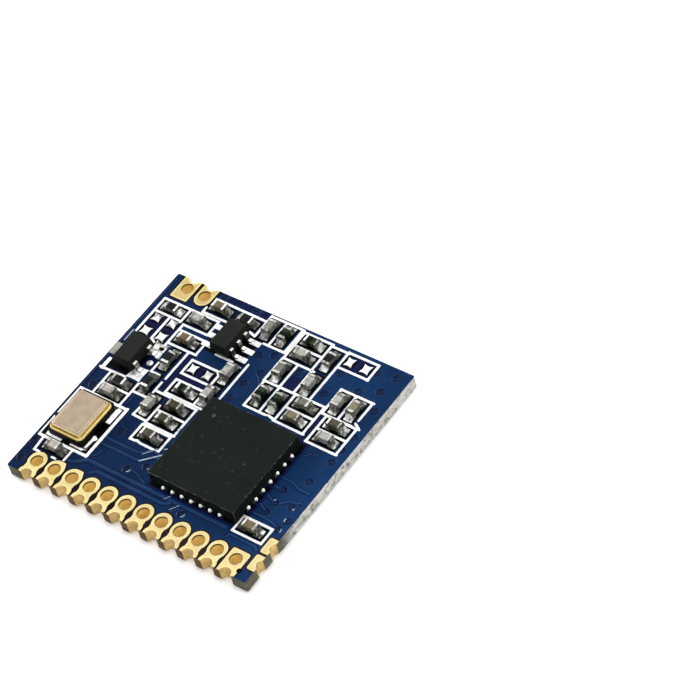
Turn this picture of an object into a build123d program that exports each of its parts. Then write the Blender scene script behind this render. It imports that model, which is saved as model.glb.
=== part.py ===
from build123d import *
import os

# Radio transceiver module: a small blue circuit board with a row of twelve
# plated castellated pins along its front edge, two radio output pins at the
# back left, two edge pads on the right, a square leadless radio chip, a
# crystal, a six-lead switch, a three-lead transistor and small chip passives.
# Origin: centre of the underside. X runs along the twelve-pin edge, Y to the
# back, Z up. Positions on the board are given from its left front corner.

# ---------------------------------------------------------------- driving sizes
board_x = 16.7
board_y = 15.6
board_t = 0.8
copper_t = 0.03            # lands stand this much proud of the laminate
plate_t = 0.035            # wall of the plated barrels
corner_r = 0.1

pin_count = 12
pin_pitch = 1.27
pin_first_x = 1.39
pin_row_y = 1.0
pin_hole_r = 0.37
pin_pad_r = 0.56
pin_waist = 0.92
edge_notch_r = 0.36
last_pad_w = 1.17
last_pad_l = 1.6

rf_xs = (1.22, 2.49)
rf_y = 14.88
rf_notch_r = 0.38
rf_notch_out = 0.15        # notch centre this far behind the back edge

side_ys = (1.31, 2.51)
side_notch_r = 0.30
side_notch_out = 0.12
side_pad_in = 0.52
side_pad_w = 1.04

chip_size = 5.88           # moulded body
chip_span = 6.0            # over the ends of the terminals
chip_h = 0.9
chip_at = (11.04, 5.80)
chip_pitch = 0.65
chip_term_w = 0.3
chip_term_l = 0.45
chip_term_h = 0.2
chip_pad = 4.2
chip_mark_r = 0.11
chip_mark_off = (-2.075, 1.86)

xtal_at = (1.9, 4.42)
xtal_base = (2.5, 3.2, 0.42)
xtal_ring = (2.4, 3.08, 0.14)
xtal_lid = (2.1, 2.78, 0.18)

sw_at = (6.05, 12.75)
tr_at = (1.68, 9.45)
sot_body = (1.25, 2.1, 0.86)
sot_span = 2.1
sot_standoff = 0.06
lead_t = 0.12
lead_w = 0.24
lead_pitch = 0.65

pas_l = 1.0                # chip passive length
pas_w = 0.5
cap_h = 0.5
res_h = 0.35
ind_h = 0.46
end_l = 0.24               # metal end length
end_t = 0.03               # metal end wall
land_l = 0.5
land_w = 0.54
land_off = 0.52            # land centre from passive centre
fillet_l = 0.2
fillet_w = 0.42

z_top = board_t
z_land = board_t + copper_t


def at(x, y):
    """Board position given from the left front corner."""
    return (x - board_x / 2, y - board_y / 2)


pin_xs = [pin_first_x + pin_pitch * i for i in range(pin_count)]

# name, kind, x, y, angle of the long side
passives = [
    ("resistor_r1", "res", 1.44, 13.22, 0),
    ("capacitor_c1", "cap", 3.40, 13.17, 0),
    ("capacitor_c2", "cap", 4.00, 14.47, 0),
    ("resistor_r2", "res", 5.88, 14.45, 0),
    ("capacitor_c3", "cap", 3.65, 11.68, 0),
    ("capacitor_c4", "cap", 7.47, 14.56, 90),
    ("inductor_l1", "ind", 8.56, 14.55, 90),
    ("inductor_l2", "ind", 10.30, 14.80, 0),
    ("capacitor_c5", "cap", 10.30, 13.80, 0),
    ("resistor_r3", "res", 11.88, 14.25, 90),
    ("capacitor_c6", "cap", 9.86, 12.36, 90),
    ("capacitor_c7", "cap", 11.90, 12.37, 90),
    ("inductor_l3", "ind", 9.89, 10.50, 90),
    ("inductor_l4", "ind", 10.98, 10.50, 90),
    ("capacitor_c8", "cap", 12.53, 11.00, 0),
    ("capacitor_c9", "cap", 12.53, 9.96, 0),
    ("capacitor_c10", "cap", 14.13, 12.02, 90),
    ("capacitor_c11", "cap", 15.20, 12.02, 90),
    ("capacitor_c12", "cap", 14.96, 10.60, 0),
    ("capacitor_c13", "cap", 14.96, 9.62, 0),
    ("capacitor_c14", "cap", 14.95, 2.93, 0),
    ("inductor_l5", "ind", 5.83, 8.72, 0),
    ("capacitor_c15", "cap", 7.28, 10.90, 90),
    ("capacitor_c16", "cap", 7.25, 9.10, 90),
    ("resistor_r4", "res", 3.62, 10.15, 90),
    ("resistor_r5", "res", 3.62, 8.25, 90),
    ("resistor_r6", "res", 2.07, 7.56, 0),
    ("capacitor_c17", "cap", 2.04, 6.67, 0),
    ("capacitor_c18", "cap", 4.65, 7.05, 90),
    ("capacitor_c19", "cap", 6.17, 7.52, 0),
    ("capacitor_c20", "cap", 6.17, 6.50, 0),
    ("capacitor_c21", "cap", 6.10, 5.25, 0),
    ("capacitor_c22", "cap", 1.76, 2.13, 0),
]
heights = {"cap": cap_h, "res": res_h, "ind": ind_h}

# footprints left without a component: land centre x, y, size x, size y
bare_lands = [
    (0.97, 12.35, 0.55, 0.50), (0.97, 11.30, 0.55, 0.50),
    (2.10, 12.35, 0.55, 0.50), (2.10, 11.30, 0.55, 0.50),
    (5.22, 10.27, 0.46, 0.52), (6.28, 10.27, 0.46, 0.52),
    (12.92, 14.72, 0.46, 0.55), (14.02, 14.72, 0.50, 0.55),
]
xtal_lands = [
    (1.10, 3.25, 1.15, 1.05), (2.82, 3.35, 1.20, 1.10),
    (2.82, 5.48, 1.20, 1.14), (1.10, 5.48, 1.15, 1.14),
]
tr_lands = [
    (0.55, 9.45, 1.00, 0.88), (2.55, 10.38, 0.92, 0.98), (2.55, 8.56, 0.92, 0.92),
]
sw_lands = [(x, sw_at[1] + d * lead_pitch, 0.62, 0.36)
            for x in (4.86, 7.24) for d in (-1, 0, 1)]
# small filled vias: shallow round dimples in the surface
vias = [
    (8.8, 13.2), (7.95, 12.8), (8.85, 11.8), (8.45, 10.8), (8.35, 9.6),
    (10.8, 12.85), (12.9, 13.85), (12.95, 12.25), (15.9, 15.0), (15.65, 13.8),
    (14.55, 13.25), (16.15, 12.55), (16.2, 10.55), (16.1, 8.6), (15.8, 7.0),
    (14.85, 5.85), (15.0, 4.95), (16.0, 5.15), (14.9, 4.25), (16.2, 3.6),
    (16.35, 4.3), (4.35, 4.85), (7.2, 3.6), (6.3, 2.95), (10.9, 1.95),
    (0.4, 0.8), (0.75, 6.75), (0.3, 2.1), (3.65, 15.3), (5.95, 15.3),
    (14.72, 14.8), (16.1, 9.5),
]
via_r = 0.16
via_ball_r = 0.22

os.makedirs("parts", exist_ok=True)


def save(builder, label):
    builder.part.label = label
    export_step(builder.part, f"parts/{label}.step")


# ---------------------------------------------------------------- circuit board
with BuildPart() as circuit_board:
    with BuildSketch(Plane.XY) as outline:
        Rectangle(board_x, board_y)
        with Locations(*[at(x, pin_row_y) for x in pin_xs], *[at(x, rf_y) for x in rf_xs]):
            Circle(pin_hole_r + plate_t, mode=Mode.SUBTRACT)
        with Locations(*[at(x, 0) for x in pin_xs]):
            Circle(edge_notch_r + plate_t, mode=Mode.SUBTRACT)
        with Locations(*[at(x, board_y + rf_notch_out) for x in rf_xs]):
            Circle(rf_notch_r + plate_t, mode=Mode.SUBTRACT)
        with Locations(*[at(board_x + side_notch_out, y) for y in side_ys]):
            Circle(side_notch_r + plate_t, mode=Mode.SUBTRACT)
    extrude(amount=board_t)
    # the four corners are slightly rounded
    for side in (0, -1):
        uprights = circuit_board.edges().filter_by(Axis.Z).group_by(Axis.X)[side].sort_by(Axis.Y)
        fillet([uprights[0], uprights[-1]], radius=corner_r)
    # the underside lands lie in shallow recesses, flush with the laminate
    with BuildSketch(Plane.XY) as recesses:
        with Locations(*[at(x, 0.78) for x in pin_xs]):
            Rectangle(1.0, 1.56)
        with Locations(*[at(x, board_y - 0.72) for x in rf_xs]):
            Rectangle(1.0, 1.44)
        with Locations(*[at(board_x - 0.4, y) for y in side_ys]):
            Rectangle(0.8, 0.96)
    extrude(amount=copper_t, mode=Mode.SUBTRACT)
    # via dimples
    ball_up = (via_ball_r**2 - via_r**2) ** 0.5
    with Locations(*[(*at(x, y), z_top + ball_up) for x, y in vias]):
        Sphere(via_ball_r, mode=Mode.SUBTRACT)
save(circuit_board, "circuit_board")

# ---------------------------------------------------------------- castellated pins
with BuildPart() as castellated_pads:
    with BuildSketch(Plane.XY.offset(z_top)) as pin_faces:
        with Locations(*[at(x, pin_row_y + 0.02) for x in pin_xs[:-1]]):
            SlotCenterToCenter(0.1, 2 * pin_pad_r, rotation=90)
        with Locations(*[at(x, 0.08) for x in pin_xs[:-1]]):
            Circle(pin_pad_r)
        with Locations(*[at(x, 0.5) for x in pin_xs[:-1]]):
            Rectangle(pin_waist, 0.8)
        with Locations(at(pin_xs[-1] + 0.005, last_pad_l / 2)):
            RectangleRounded(last_pad_w, last_pad_l, 0.12)
        with Locations(at(pin_xs[-1] + 0.03 + last_pad_w / 2, 0.47)):
            Circle(0.15, mode=Mode.SUBTRACT)
        Rectangle(board_x, board_y, mode=Mode.INTERSECT)
        with Locations(*[at(x, pin_row_y) for x in pin_xs]):
            Circle(pin_hole_r, mode=Mode.SUBTRACT)
        with Locations(*[at(x, 0) for x in pin_xs]):
            Circle(edge_notch_r, mode=Mode.SUBTRACT)
    extrude(amount=copper_t)
    with BuildSketch(Plane.XY) as pin_unders:
        with Locations(*[at(x, 0.78) for x in pin_xs]):
            Rectangle(1.0, 1.56)
        with Locations(*[at(x, pin_row_y) for x in pin_xs]):
            Circle(pin_hole_r, mode=Mode.SUBTRACT)
        with Locations(*[at(x, 0) for x in pin_xs]):
            Circle(edge_notch_r, mode=Mode.SUBTRACT)
    extrude(amount=copper_t)
    with BuildSketch(Plane.XY) as pin_barrels:
        with Locations(*[at(x, pin_row_y) for x in pin_xs]):
            Circle(pin_hole_r + plate_t)
        with Locations(*[at(x, 0) for x in pin_xs]):
            Circle(edge_notch_r + plate_t)
        Rectangle(board_x, board_y, mode=Mode.INTERSECT)
        with Locations(*[at(x, pin_row_y) for x in pin_xs]):
            Circle(pin_hole_r, mode=Mode.SUBTRACT)
        with Locations(*[at(x, 0) for x in pin_xs]):
            Circle(edge_notch_r, mode=Mode.SUBTRACT)
    extrude(amount=z_land)
save(castellated_pads, "castellated_pads")

# ---------------------------------------------------------------- radio output pins
with BuildPart() as castellated_output_pads:
    with BuildSketch(Plane.XY.offset(z_top)) as rf_faces:
        with Locations(at(rf_xs[0] - 0.06, board_y - 0.79)):
            RectangleRounded(1.18, 1.58, 0.05)
        with Locations(at(rf_xs[0] - 0.06, board_y - 0.3)):
            Rectangle(1.18, 0.6)
        with Locations(at(rf_xs[1] + 0.02, rf_y - 0.18)):
            Circle(0.54)
        with Locations(at(rf_xs[1] + 0.02, (board_y + rf_y - 0.18) / 2)):
            Rectangle(1.08, board_y - rf_y + 0.18)
        Rectangle(board_x, board_y, mode=Mode.INTERSECT)
        with Locations(*[at(x, rf_y) for x in rf_xs]):
            Circle(pin_hole_r, mode=Mode.SUBTRACT)
        with Locations(*[at(x, board_y + rf_notch_out) for x in rf_xs]):
            Circle(rf_notch_r, mode=Mode.SUBTRACT)
    extrude(amount=copper_t)
    with BuildSketch(Plane.XY) as rf_unders:
        with Locations(*[at(x, board_y - 0.72) for x in rf_xs]):
            Rectangle(1.0, 1.44)
        with Locations(*[at(x, rf_y) for x in rf_xs]):
            Circle(pin_hole_r, mode=Mode.SUBTRACT)
        with Locations(*[at(x, board_y + rf_notch_out) for x in rf_xs]):
            Circle(rf_notch_r, mode=Mode.SUBTRACT)
    extrude(amount=copper_t)
    with BuildSketch(Plane.XY) as rf_barrels:
        with Locations(*[at(x, rf_y) for x in rf_xs]):
            Circle(pin_hole_r + plate_t)
        with Locations(*[at(x, board_y + rf_notch_out) for x in rf_xs]):
            Circle(rf_notch_r + plate_t)
        Rectangle(board_x, board_y, mode=Mode.INTERSECT)
        with Locations(*[at(x, rf_y) for x in rf_xs]):
            Circle(pin_hole_r, mode=Mode.SUBTRACT)
        with Locations(*[at(x, board_y + rf_notch_out) for x in rf_xs]):
            Circle(rf_notch_r, mode=Mode.SUBTRACT)
    extrude(amount=z_land)
save(castellated_output_pads, "castellated_output_pads")

# ---------------------------------------------------------------- side edge pads
with BuildPart() as side_pads:
    with BuildSketch(Plane.XY.offset(z_top)) as side_faces:
        with Locations(*[at(board_x - side_pad_in / 2, y) for y in side_ys]):
            RectangleRounded(side_pad_in, side_pad_w, 0.12)
        with Locations(*[at(board_x - side_pad_in / 4, y) for y in side_ys]):
            Rectangle(side_pad_in / 2, side_pad_w)
        with Locations(*[at(board_x + side_notch_out, y) for y in side_ys]):
            Circle(side_notch_r, mode=Mode.SUBTRACT)
    extrude(amount=copper_t)
    with BuildSketch(Plane.XY) as side_unders:
        with Locations(*[at(board_x - 0.4, y) for y in side_ys]):
            Rectangle(0.8, 0.96)
        with Locations(*[at(board_x + side_notch_out, y) for y in side_ys]):
            Circle(side_notch_r, mode=Mode.SUBTRACT)
    extrude(amount=copper_t)
    with BuildSketch(Plane.XY) as side_barrels:
        with Locations(*[at(board_x + side_notch_out, y) for y in side_ys]):
            Circle(side_notch_r + plate_t)
        Rectangle(board_x, board_y, mode=Mode.INTERSECT)
        with Locations(*[at(board_x + side_notch_out, y) for y in side_ys]):
            Circle(side_notch_r, mode=Mode.SUBTRACT)
    extrude(amount=z_land)
save(side_pads, "side_pads")

# ---------------------------------------------------------------- component lands
with BuildPart() as component_lands:
    with BuildSketch(Plane.XY.offset(z_top)) as lands:
        for _, _, x, y, a in passives:
            dx, dy = (land_off, 0) if a == 0 else (0, land_off)
            wx, wy = (land_l, land_w) if a == 0 else (land_w, land_l)
            with Locations(at(x - dx, y - dy), at(x + dx, y + dy)):
                Rectangle(wx, wy)
        for x, y, wx, wy in bare_lands + xtal_lands + tr_lands + sw_lands:
            with Locations(at(x, y)):
                Rectangle(wx, wy)
        with Locations(at(2.72, 9.47)):
            Circle(0.2)
    extrude(amount=copper_t)
save(component_lands, "component_lands")

# ---------------------------------------------------------------- radio chip
chip_x, chip_y = at(*chip_at)
half = chip_span / 2
terms = []
for k in range(-3, 4):
    s = k * chip_pitch
    terms += [(chip_x + s, chip_y - half + chip_term_l / 2, 90),
              (chip_x + s, chip_y + half - chip_term_l / 2, 90),
              (chip_x - half + chip_term_l / 2, chip_y + s, 0),
              (chip_x + half - chip_term_l / 2, chip_y + s, 0)]

with BuildPart() as radio_chip_lands:
    with BuildSketch(Plane.XY.offset(z_top)) as chip_land_faces:
        with Locations((chip_x, chip_y)):
            Rectangle(chip_pad, chip_pad)
        for x, y, a in terms:
            # each land runs a little out past the package edge
            ox = 0 if a == 90 else (0.09 if x > chip_x else -0.09)
            oy = 0 if a == 0 else (0.09 if y > chip_y else -0.09)
            wx, wy = (chip_term_l + 0.18, 0.32) if a == 0 else (0.32, chip_term_l + 0.18)
            with Locations((x + ox, y + oy)):
                Rectangle(wx, wy)
    extrude(amount=copper_t)
save(radio_chip_lands, "radio_chip_lands")

with BuildPart() as radio_chip_terminals:
    with BuildSketch(Plane.XY.offset(z_land)) as term_faces:
        for x, y, a in terms:
            wx, wy = (chip_term_l, chip_term_w) if a == 0 else (chip_term_w, chip_term_l)
            with Locations((x, y)):
                Rectangle(wx, wy)
    extrude(amount=chip_term_h)
save(radio_chip_terminals, "radio_chip_terminals")

with BuildPart() as radio_chip_thermal_pad:
    with BuildSketch(Plane.XY.offset(z_land)) as pad_face:
        with Locations((chip_x, chip_y)):
            Rectangle(chip_pad, chip_pad)
        chamfer(pad_face.vertices().group_by(Axis.X)[0].sort_by(Axis.Y)[-1], length=0.4)
    extrude(amount=chip_term_h)
save(radio_chip_thermal_pad, "radio_chip_thermal_pad")

with BuildPart() as radio_chip_body:
    with BuildSketch(Plane.XY.offset(z_land)) as body_face:
        with Locations((chip_x, chip_y)):
            Rectangle(chip_size, chip_size)
    extrude(amount=chip_h)
    add(radio_chip_terminals.part, mode=Mode.SUBTRACT)
    add(radio_chip_thermal_pad.part, mode=Mode.SUBTRACT)
    # pin one dimple
    with BuildSketch(Plane.XY.offset(z_land + chip_h)) as dimple:
        with Locations((chip_x + chip_mark_off[0], chip_y + chip_mark_off[1])):
            Circle(chip_mark_r)
    extrude(amount=-0.03, mode=Mode.SUBTRACT)
save(radio_chip_body, "radio_chip_body")

# ---------------------------------------------------------------- crystal
xtal_x, xtal_y = at(*xtal_at)
with BuildPart() as crystal_base:
    with BuildSketch(Plane.XY.offset(z_land)) as base_face:
        with Locations((xtal_x, xtal_y)):
            Rectangle(xtal_base[0], xtal_base[1])
        # quarter-round recesses at the four corners
        with Locations((xtal_x, xtal_y)):
            with GridLocations(xtal_base[0], xtal_base[1], 2, 2):
                Circle(0.16, mode=Mode.SUBTRACT)
    extrude(amount=xtal_base[2])
    # the cavity that holds the quartz blank
    with BuildSketch(Plane.XY.offset(z_land + xtal_base[2])) as cavity:
        with Locations((xtal_x, xtal_y)):
            RectangleRounded(1.6, 2.3, 0.15)
    extrude(amount=-0.22, mode=Mode.SUBTRACT)
save(crystal_base, "crystal_base")

with BuildPart() as quartz_blank:
    with BuildSketch(Plane.XY.offset(z_land + xtal_base[2] - 0.22)) as posts:
        with Locations((xtal_x - 0.45, xtal_y - 0.88), (xtal_x + 0.45, xtal_y - 0.88)):
            Rectangle(0.34, 0.24)
    extrude(amount=0.06)
    with BuildSketch(Plane.XY.offset(z_land + xtal_base[2] - 0.16)) as blank:
        with Locations((xtal_x, xtal_y)):
            Rectangle(1.3, 2.0)
    extrude(amount=0.06)
save(quartz_blank, "quartz_blank")

with BuildPart() as crystal_seal_ring:
    with BuildSketch(Plane.XY.offset(z_land + xtal_base[2])) as ring_face:
        with Locations((xtal_x, xtal_y)):
            RectangleRounded(xtal_ring[0], xtal_ring[1], 0.34)
            RectangleRounded(1.7, 2.4, 0.2, mode=Mode.SUBTRACT)
    extrude(amount=xtal_ring[2])
    fillet(crystal_seal_ring.faces().sort_by(Axis.Z)[-1].outer_wire().edges(), radius=0.05)
save(crystal_seal_ring, "crystal_seal_ring")

with BuildPart() as crystal_lid:
    with BuildSketch(Plane.XY.offset(z_land + xtal_base[2] + xtal_ring[2])) as lid_face:
        with Locations((xtal_x, xtal_y)):
            RectangleRounded(xtal_lid[0], xtal_lid[1], 0.24)
    extrude(amount=xtal_lid[2])
    chamfer(crystal_lid.faces().sort_by(Axis.Z)[-1].edges(), length=0.12, length2=0.09)
save(crystal_lid, "crystal_lid")


# ---------------------------------------------------------------- leaded packages
body_top = z_land + sot_standoff + sot_body[2]
part_z = z_land + sot_standoff + 0.44      # parting plane, where the leads leave
foot_x = sot_span / 2
shoulder_x = sot_body[0] / 2 + 0.13

sw_x, sw_y = at(*sw_at)
with BuildPart() as rf_switch_leads:
    for side in (-1, 1):
        for k in (-1, 0, 1):
            with BuildSketch(Plane.XZ.offset(-(sw_y + k * lead_pitch + lead_w / 2))) as wing:
                with BuildLine() as profile:
                    Polyline(
                        (sw_x + side * 0.4, part_z - lead_t / 2),
                        (sw_x + side * (shoulder_x - lead_t), part_z - lead_t / 2),
                        (sw_x + side * (shoulder_x - 0.04), z_land),
                        (sw_x + side * foot_x, z_land),
                        (sw_x + side * foot_x, z_land + lead_t),
                        (sw_x + side * (shoulder_x + 0.07), z_land + lead_t),
                        (sw_x + side * shoulder_x, part_z + lead_t / 2),
                        (sw_x + side * 0.4, part_z + lead_t / 2),
                        close=True,
                    )
                make_face()
            extrude(amount=lead_w)
save(rf_switch_leads, "rf_switch_leads")

with BuildPart() as rf_switch_body:
    with BuildSketch(Plane.XY.offset(part_z)) as sw_up:
        with Locations((sw_x, sw_y)):
            Rectangle(sot_body[0], sot_body[1])
    extrude(amount=body_top - part_z, taper=9)
    with BuildSketch(Plane.XY.offset(part_z)) as sw_down:
        with Locations((sw_x, sw_y)):
            Rectangle(sot_body[0], sot_body[1])
    extrude(amount=-(part_z - z_land - sot_standoff), taper=9)
    add(rf_switch_leads.part, mode=Mode.SUBTRACT)
save(rf_switch_body, "rf_switch_body")

tr_x, tr_y = at(*tr_at)
with BuildPart() as transistor_leads:
    for side, k in ((-1, 0), (1, -1), (1, 1)):
        w = 0.62 if side < 0 else 0.3
        with BuildSketch(Plane.XZ.offset(-(tr_y + k * lead_pitch + w / 2))) as wing:
            with BuildLine() as profile:
                Polyline(
                    (tr_x + side * 0.4, part_z - lead_t / 2),
                    (tr_x + side * (shoulder_x - lead_t), part_z - lead_t / 2),
                    (tr_x + side * (shoulder_x - 0.04), z_land),
                    (tr_x + side * foot_x, z_land),
                    (tr_x + side * foot_x, z_land + lead_t),
                    (tr_x + side * (shoulder_x + 0.07), z_land + lead_t),
                    (tr_x + side * shoulder_x, part_z + lead_t / 2),
                    (tr_x + side * 0.4, part_z + lead_t / 2),
                    close=True,
                )
            make_face()
        extrude(amount=w)
save(transistor_leads, "transistor_leads")

with BuildPart() as transistor_body:
    with BuildSketch(Plane.XY.offset(part_z)) as tr_up:
        with Locations((tr_x, tr_y)):
            Rectangle(sot_body[0], sot_body[1])
    extrude(amount=body_top - part_z, taper=9)
    with BuildSketch(Plane.XY.offset(part_z)) as tr_down:
        with Locations((tr_x, tr_y)):
            Rectangle(sot_body[0], sot_body[1])
    extrude(amount=-(part_z - z_land - sot_standoff), taper=9)
    add(transistor_leads.part, mode=Mode.SUBTRACT)
save(transistor_body, "transistor_body")

# ---------------------------------------------------------------- chip passives
for name, kind, x, y, a in passives:
    h = heights[kind]
    px, py = at(x, y)
    wx, wy = (pas_l, pas_w) if a == 0 else (pas_w, pas_l)
    with BuildPart() as passive_body:
        with BuildSketch(Plane.XY.offset(z_land + end_t)) as passive_face:
            with Locations((px, py)):
                Rectangle(wx - 2 * end_t, wy - 2 * end_t)
        extrude(amount=h - 2 * end_t)
    save(passive_body, name)

for kind, label in (("cap", "capacitor_end_caps"), ("res", "resistor_end_caps"),
                    ("ind", "inductor_end_caps")):
    h = heights[kind]
    with BuildPart() as end_caps:
        for _, k, x, y, a in passives:
            if k != kind:
                continue
            px, py = at(x, y)
            d = (pas_l - end_l) / 2
            dx, dy = (d, 0) if a == 0 else (0, d)
            ex, ey = (end_l, pas_w) if a == 0 else (pas_w, end_l)
            wx, wy = (pas_l, pas_w) if a == 0 else (pas_w, pas_l)
            with BuildSketch(Plane.XY.offset(z_land)) as end_faces:
                with Locations((px - dx, py - dy), (px + dx, py + dy)):
                    Rectangle(ex, ey)
            extrude(amount=h)
            with BuildSketch(Plane.XY.offset(z_land + end_t)) as core:
                with Locations((px, py)):
                    Rectangle(wx - 2 * end_t, wy - 2 * end_t)
            extrude(amount=h - 2 * end_t, mode=Mode.SUBTRACT)
    save(end_caps, label)

# ---------------------------------------------------------------- solder fillets
with BuildPart() as solder_fillets:
    for _, kind, x, y, a in passives:
        fh = heights[kind] * 0.62
        px, py = at(x, y)
        for s in (-1, 1):
            if a == 0:
                plane = Plane.XZ.offset(-(py + fillet_w / 2))
                e = px + s * pas_l / 2
            else:
                plane = Plane.YZ.offset(px - fillet_w / 2)
                e = py + s * pas_l / 2
            with BuildSketch(plane) as wedge:
                with BuildLine() as wedge_edge:
                    Polyline((e, z_land), (e + s * fillet_l, z_land),
                             (e, z_land + fh), close=True)
                make_face()
            extrude(amount=fillet_w)
save(solder_fillets, "solder_fillets")
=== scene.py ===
import bpy, bmesh, math, random
from mathutils import Vector, Matrix
from mathutils.geometry import delaunay_2d_cdt


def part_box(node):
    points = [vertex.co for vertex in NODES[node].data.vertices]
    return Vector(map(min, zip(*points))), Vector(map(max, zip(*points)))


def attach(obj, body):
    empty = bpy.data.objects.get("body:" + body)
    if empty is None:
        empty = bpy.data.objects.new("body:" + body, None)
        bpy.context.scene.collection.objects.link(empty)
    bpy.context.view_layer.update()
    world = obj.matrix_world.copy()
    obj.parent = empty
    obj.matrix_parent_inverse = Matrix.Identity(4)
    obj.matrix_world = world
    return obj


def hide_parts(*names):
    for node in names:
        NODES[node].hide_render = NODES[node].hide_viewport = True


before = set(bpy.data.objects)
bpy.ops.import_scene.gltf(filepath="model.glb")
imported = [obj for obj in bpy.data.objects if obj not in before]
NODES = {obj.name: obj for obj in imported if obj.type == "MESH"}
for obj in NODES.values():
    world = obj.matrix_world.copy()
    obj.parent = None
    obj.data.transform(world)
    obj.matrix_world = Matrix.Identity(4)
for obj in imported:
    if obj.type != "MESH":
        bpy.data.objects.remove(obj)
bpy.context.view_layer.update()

# ------------------------------------------------------------------ sizes, in mm
W, H, T, CU = 16.7, 15.6, 0.8, 0.03
ZL = T + CU
PINS = [1.39 + 1.27 * i for i in range(12)]
PIN_Y, HOLE_R, NOTCH_R, PLATE = 1.0, 0.37, 0.36, 0.035
RF_X, RF_Y, RF_NR, RF_OUT = (1.22, 2.49), 14.88, 0.38, 0.15
SIDE_Y, SIDE_NR, SIDE_OUT = (1.31, 2.51), 0.30, 0.12
MM = 0.001
rng = random.Random(11)


def P(x, y, z):
    """Board position from the left front corner, in mm, to the row frame in metres."""
    return ((x - W / 2) * MM, (y - H / 2) * MM, z * MM)


# ------------------------------------------------------------------ materials
def new_mat(name):
    m = bpy.data.materials.new(name)
    m.use_nodes = True
    nt = m.node_tree
    b = nt.nodes["Principled BSDF"]
    tc = nt.nodes.new("ShaderNodeTexCoord")
    return m, nt, b, tc.outputs["Object"]


def noise(nt, vec, scale, detail=3.0, rough=0.55, stretch=None):
    n = nt.nodes.new("ShaderNodeTexNoise")
    n.inputs["Scale"].default_value = scale
    n.inputs["Detail"].default_value = detail
    n.inputs["Roughness"].default_value = rough
    if stretch:
        mp = nt.nodes.new("ShaderNodeMapping")
        mp.inputs["Scale"].default_value = stretch
        nt.links.new(vec, mp.inputs["Vector"])
        vec = mp.outputs["Vector"]
    nt.links.new(vec, n.inputs["Vector"])
    return n.outputs["Fac"]


def ramp(nt, fac, stops):
    r = nt.nodes.new("ShaderNodeValToRGB")
    e = r.color_ramp.elements
    while len(e) < len(stops):
        e.new(0.5)
    for k, (p, c) in enumerate(stops):
        e[k].position = p
        e[k].color = (*c, 1.0) if len(c) == 3 else c
    nt.links.new(fac, r.inputs["Fac"])
    return r.outputs["Color"]


def spread(nt, fac, lo, hi, a=0.3, b=0.7):
    m = nt.nodes.new("ShaderNodeMapRange")
    m.inputs["From Min"].default_value = a
    m.inputs["From Max"].default_value = b
    m.inputs["To Min"].default_value = lo
    m.inputs["To Max"].default_value = hi
    nt.links.new(fac, m.inputs["Value"])
    return m.outputs["Result"]


def mix(nt, fac, a, b, kind="MIX"):
    m = nt.nodes.new("ShaderNodeMix")
    m.data_type = "RGBA"
    m.blend_type = kind
    for src, key in ((fac, 0), (a, 6), (b, 7)):
        if isinstance(src, (int, float)):
            m.inputs[key].default_value = src
        elif isinstance(src, tuple):
            m.inputs[key].default_value = (*src, 1.0)
        else:
            nt.links.new(src, m.inputs[key])
    return m.outputs[2]


def bump(nt, bsdf, height, dist_mm, strength=1.0, under=None):
    b = nt.nodes.new("ShaderNodeBump")
    b.inputs["Distance"].default_value = dist_mm * MM
    b.inputs["Strength"].default_value = strength
    nt.links.new(height, b.inputs["Height"])
    if under is not None:
        nt.links.new(under, b.inputs["Normal"])
    nt.links.new(b.outputs["Normal"], bsdf.inputs["Normal"])
    return b.outputs["Normal"]


def simple(name, c1, c2, metal, r1, r2, scale=900.0, fine=6000.0, bmm=0.004, spec=0.5, coat=0.0, coat_r=0.1):
    """A two-tone material with mottled colour, uneven roughness and a fine grain."""
    m, nt, b, vec = new_mat(name)
    n1 = noise(nt, vec, scale, 4.0)
    n2 = noise(nt, vec, fine, 3.0)
    col = ramp(nt, n1, [(0.3, c1), (0.7, c2)])
    nt.links.new(col, b.inputs["Base Color"])
    nt.links.new(spread(nt, n2, r1, r2), b.inputs["Roughness"])
    b.inputs["Metallic"].default_value = metal
    b.inputs["Specular IOR Level"].default_value = spec
    b.inputs["Coat Weight"].default_value = coat
    b.inputs["Coat Roughness"].default_value = coat_r
    bump(nt, b, n2, bmm, 0.6)
    return m


def patchy(name, stops, metal, r1, r2, scale=2600.0, bmm=0.0008, spec=0.35, stretch=None):
    """Tin or solder whose tone breaks up in soft patches and streaks; the dark and bright streaks are partly painted
    reflections.
    """
    m, nt, b, vec = new_mat(name)
    n1 = noise(nt, vec, scale, 3.0, 0.55, stretch)
    n2 = noise(nt, vec, 7000.0, 2.0)
    col = ramp(nt, n1, stops)
    col = mix(nt, 0.3, col, ramp(nt, n2, [(0.3, (0.80, 0.80, 0.79)), (0.7, (1.12, 1.12, 1.12))]), "MULTIPLY")
    nt.links.new(col, b.inputs["Base Color"])
    nt.links.new(spread(nt, n1, r1, r2), b.inputs["Roughness"])
    b.inputs["Metallic"].default_value = metal
    b.inputs["Specular IOR Level"].default_value = spec
    bump(nt, b, n2, bmm, 0.5)
    return m


def sunken(name, c_shade_top, c1, c2, depth_mm, metal, r1, r2, spec=0.3):
    """Plating inside a hole: mottled, and darker along its upper edge, where painted shade stands for the shadow under
    the rim.
    """
    m, nt, b, vec = new_mat(name)
    n1 = noise(nt, vec, 1800.0, 4.0)
    n2 = noise(nt, vec, 5200.0, 3.0)
    sep = nt.nodes.new("ShaderNodeSeparateXYZ")
    nt.links.new(vec, sep.inputs["Vector"])
    col = ramp(nt, n1, [(0.32, c1), (0.68, c2)])
    up = spread(nt, sep.outputs["Z"], 0.0, 1.0, (ZL - depth_mm) * MM, (ZL - depth_mm * 0.65) * MM)
    col = mix(nt, up, col, c_shade_top)
    nt.links.new(col, b.inputs["Base Color"])
    nt.links.new(spread(nt, n2, r1, r2), b.inputs["Roughness"])
    b.inputs["Metallic"].default_value = metal
    b.inputs["Specular IOR Level"].default_value = spec
    bump(nt, b, n2, 0.002, 0.5)
    return m


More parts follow.
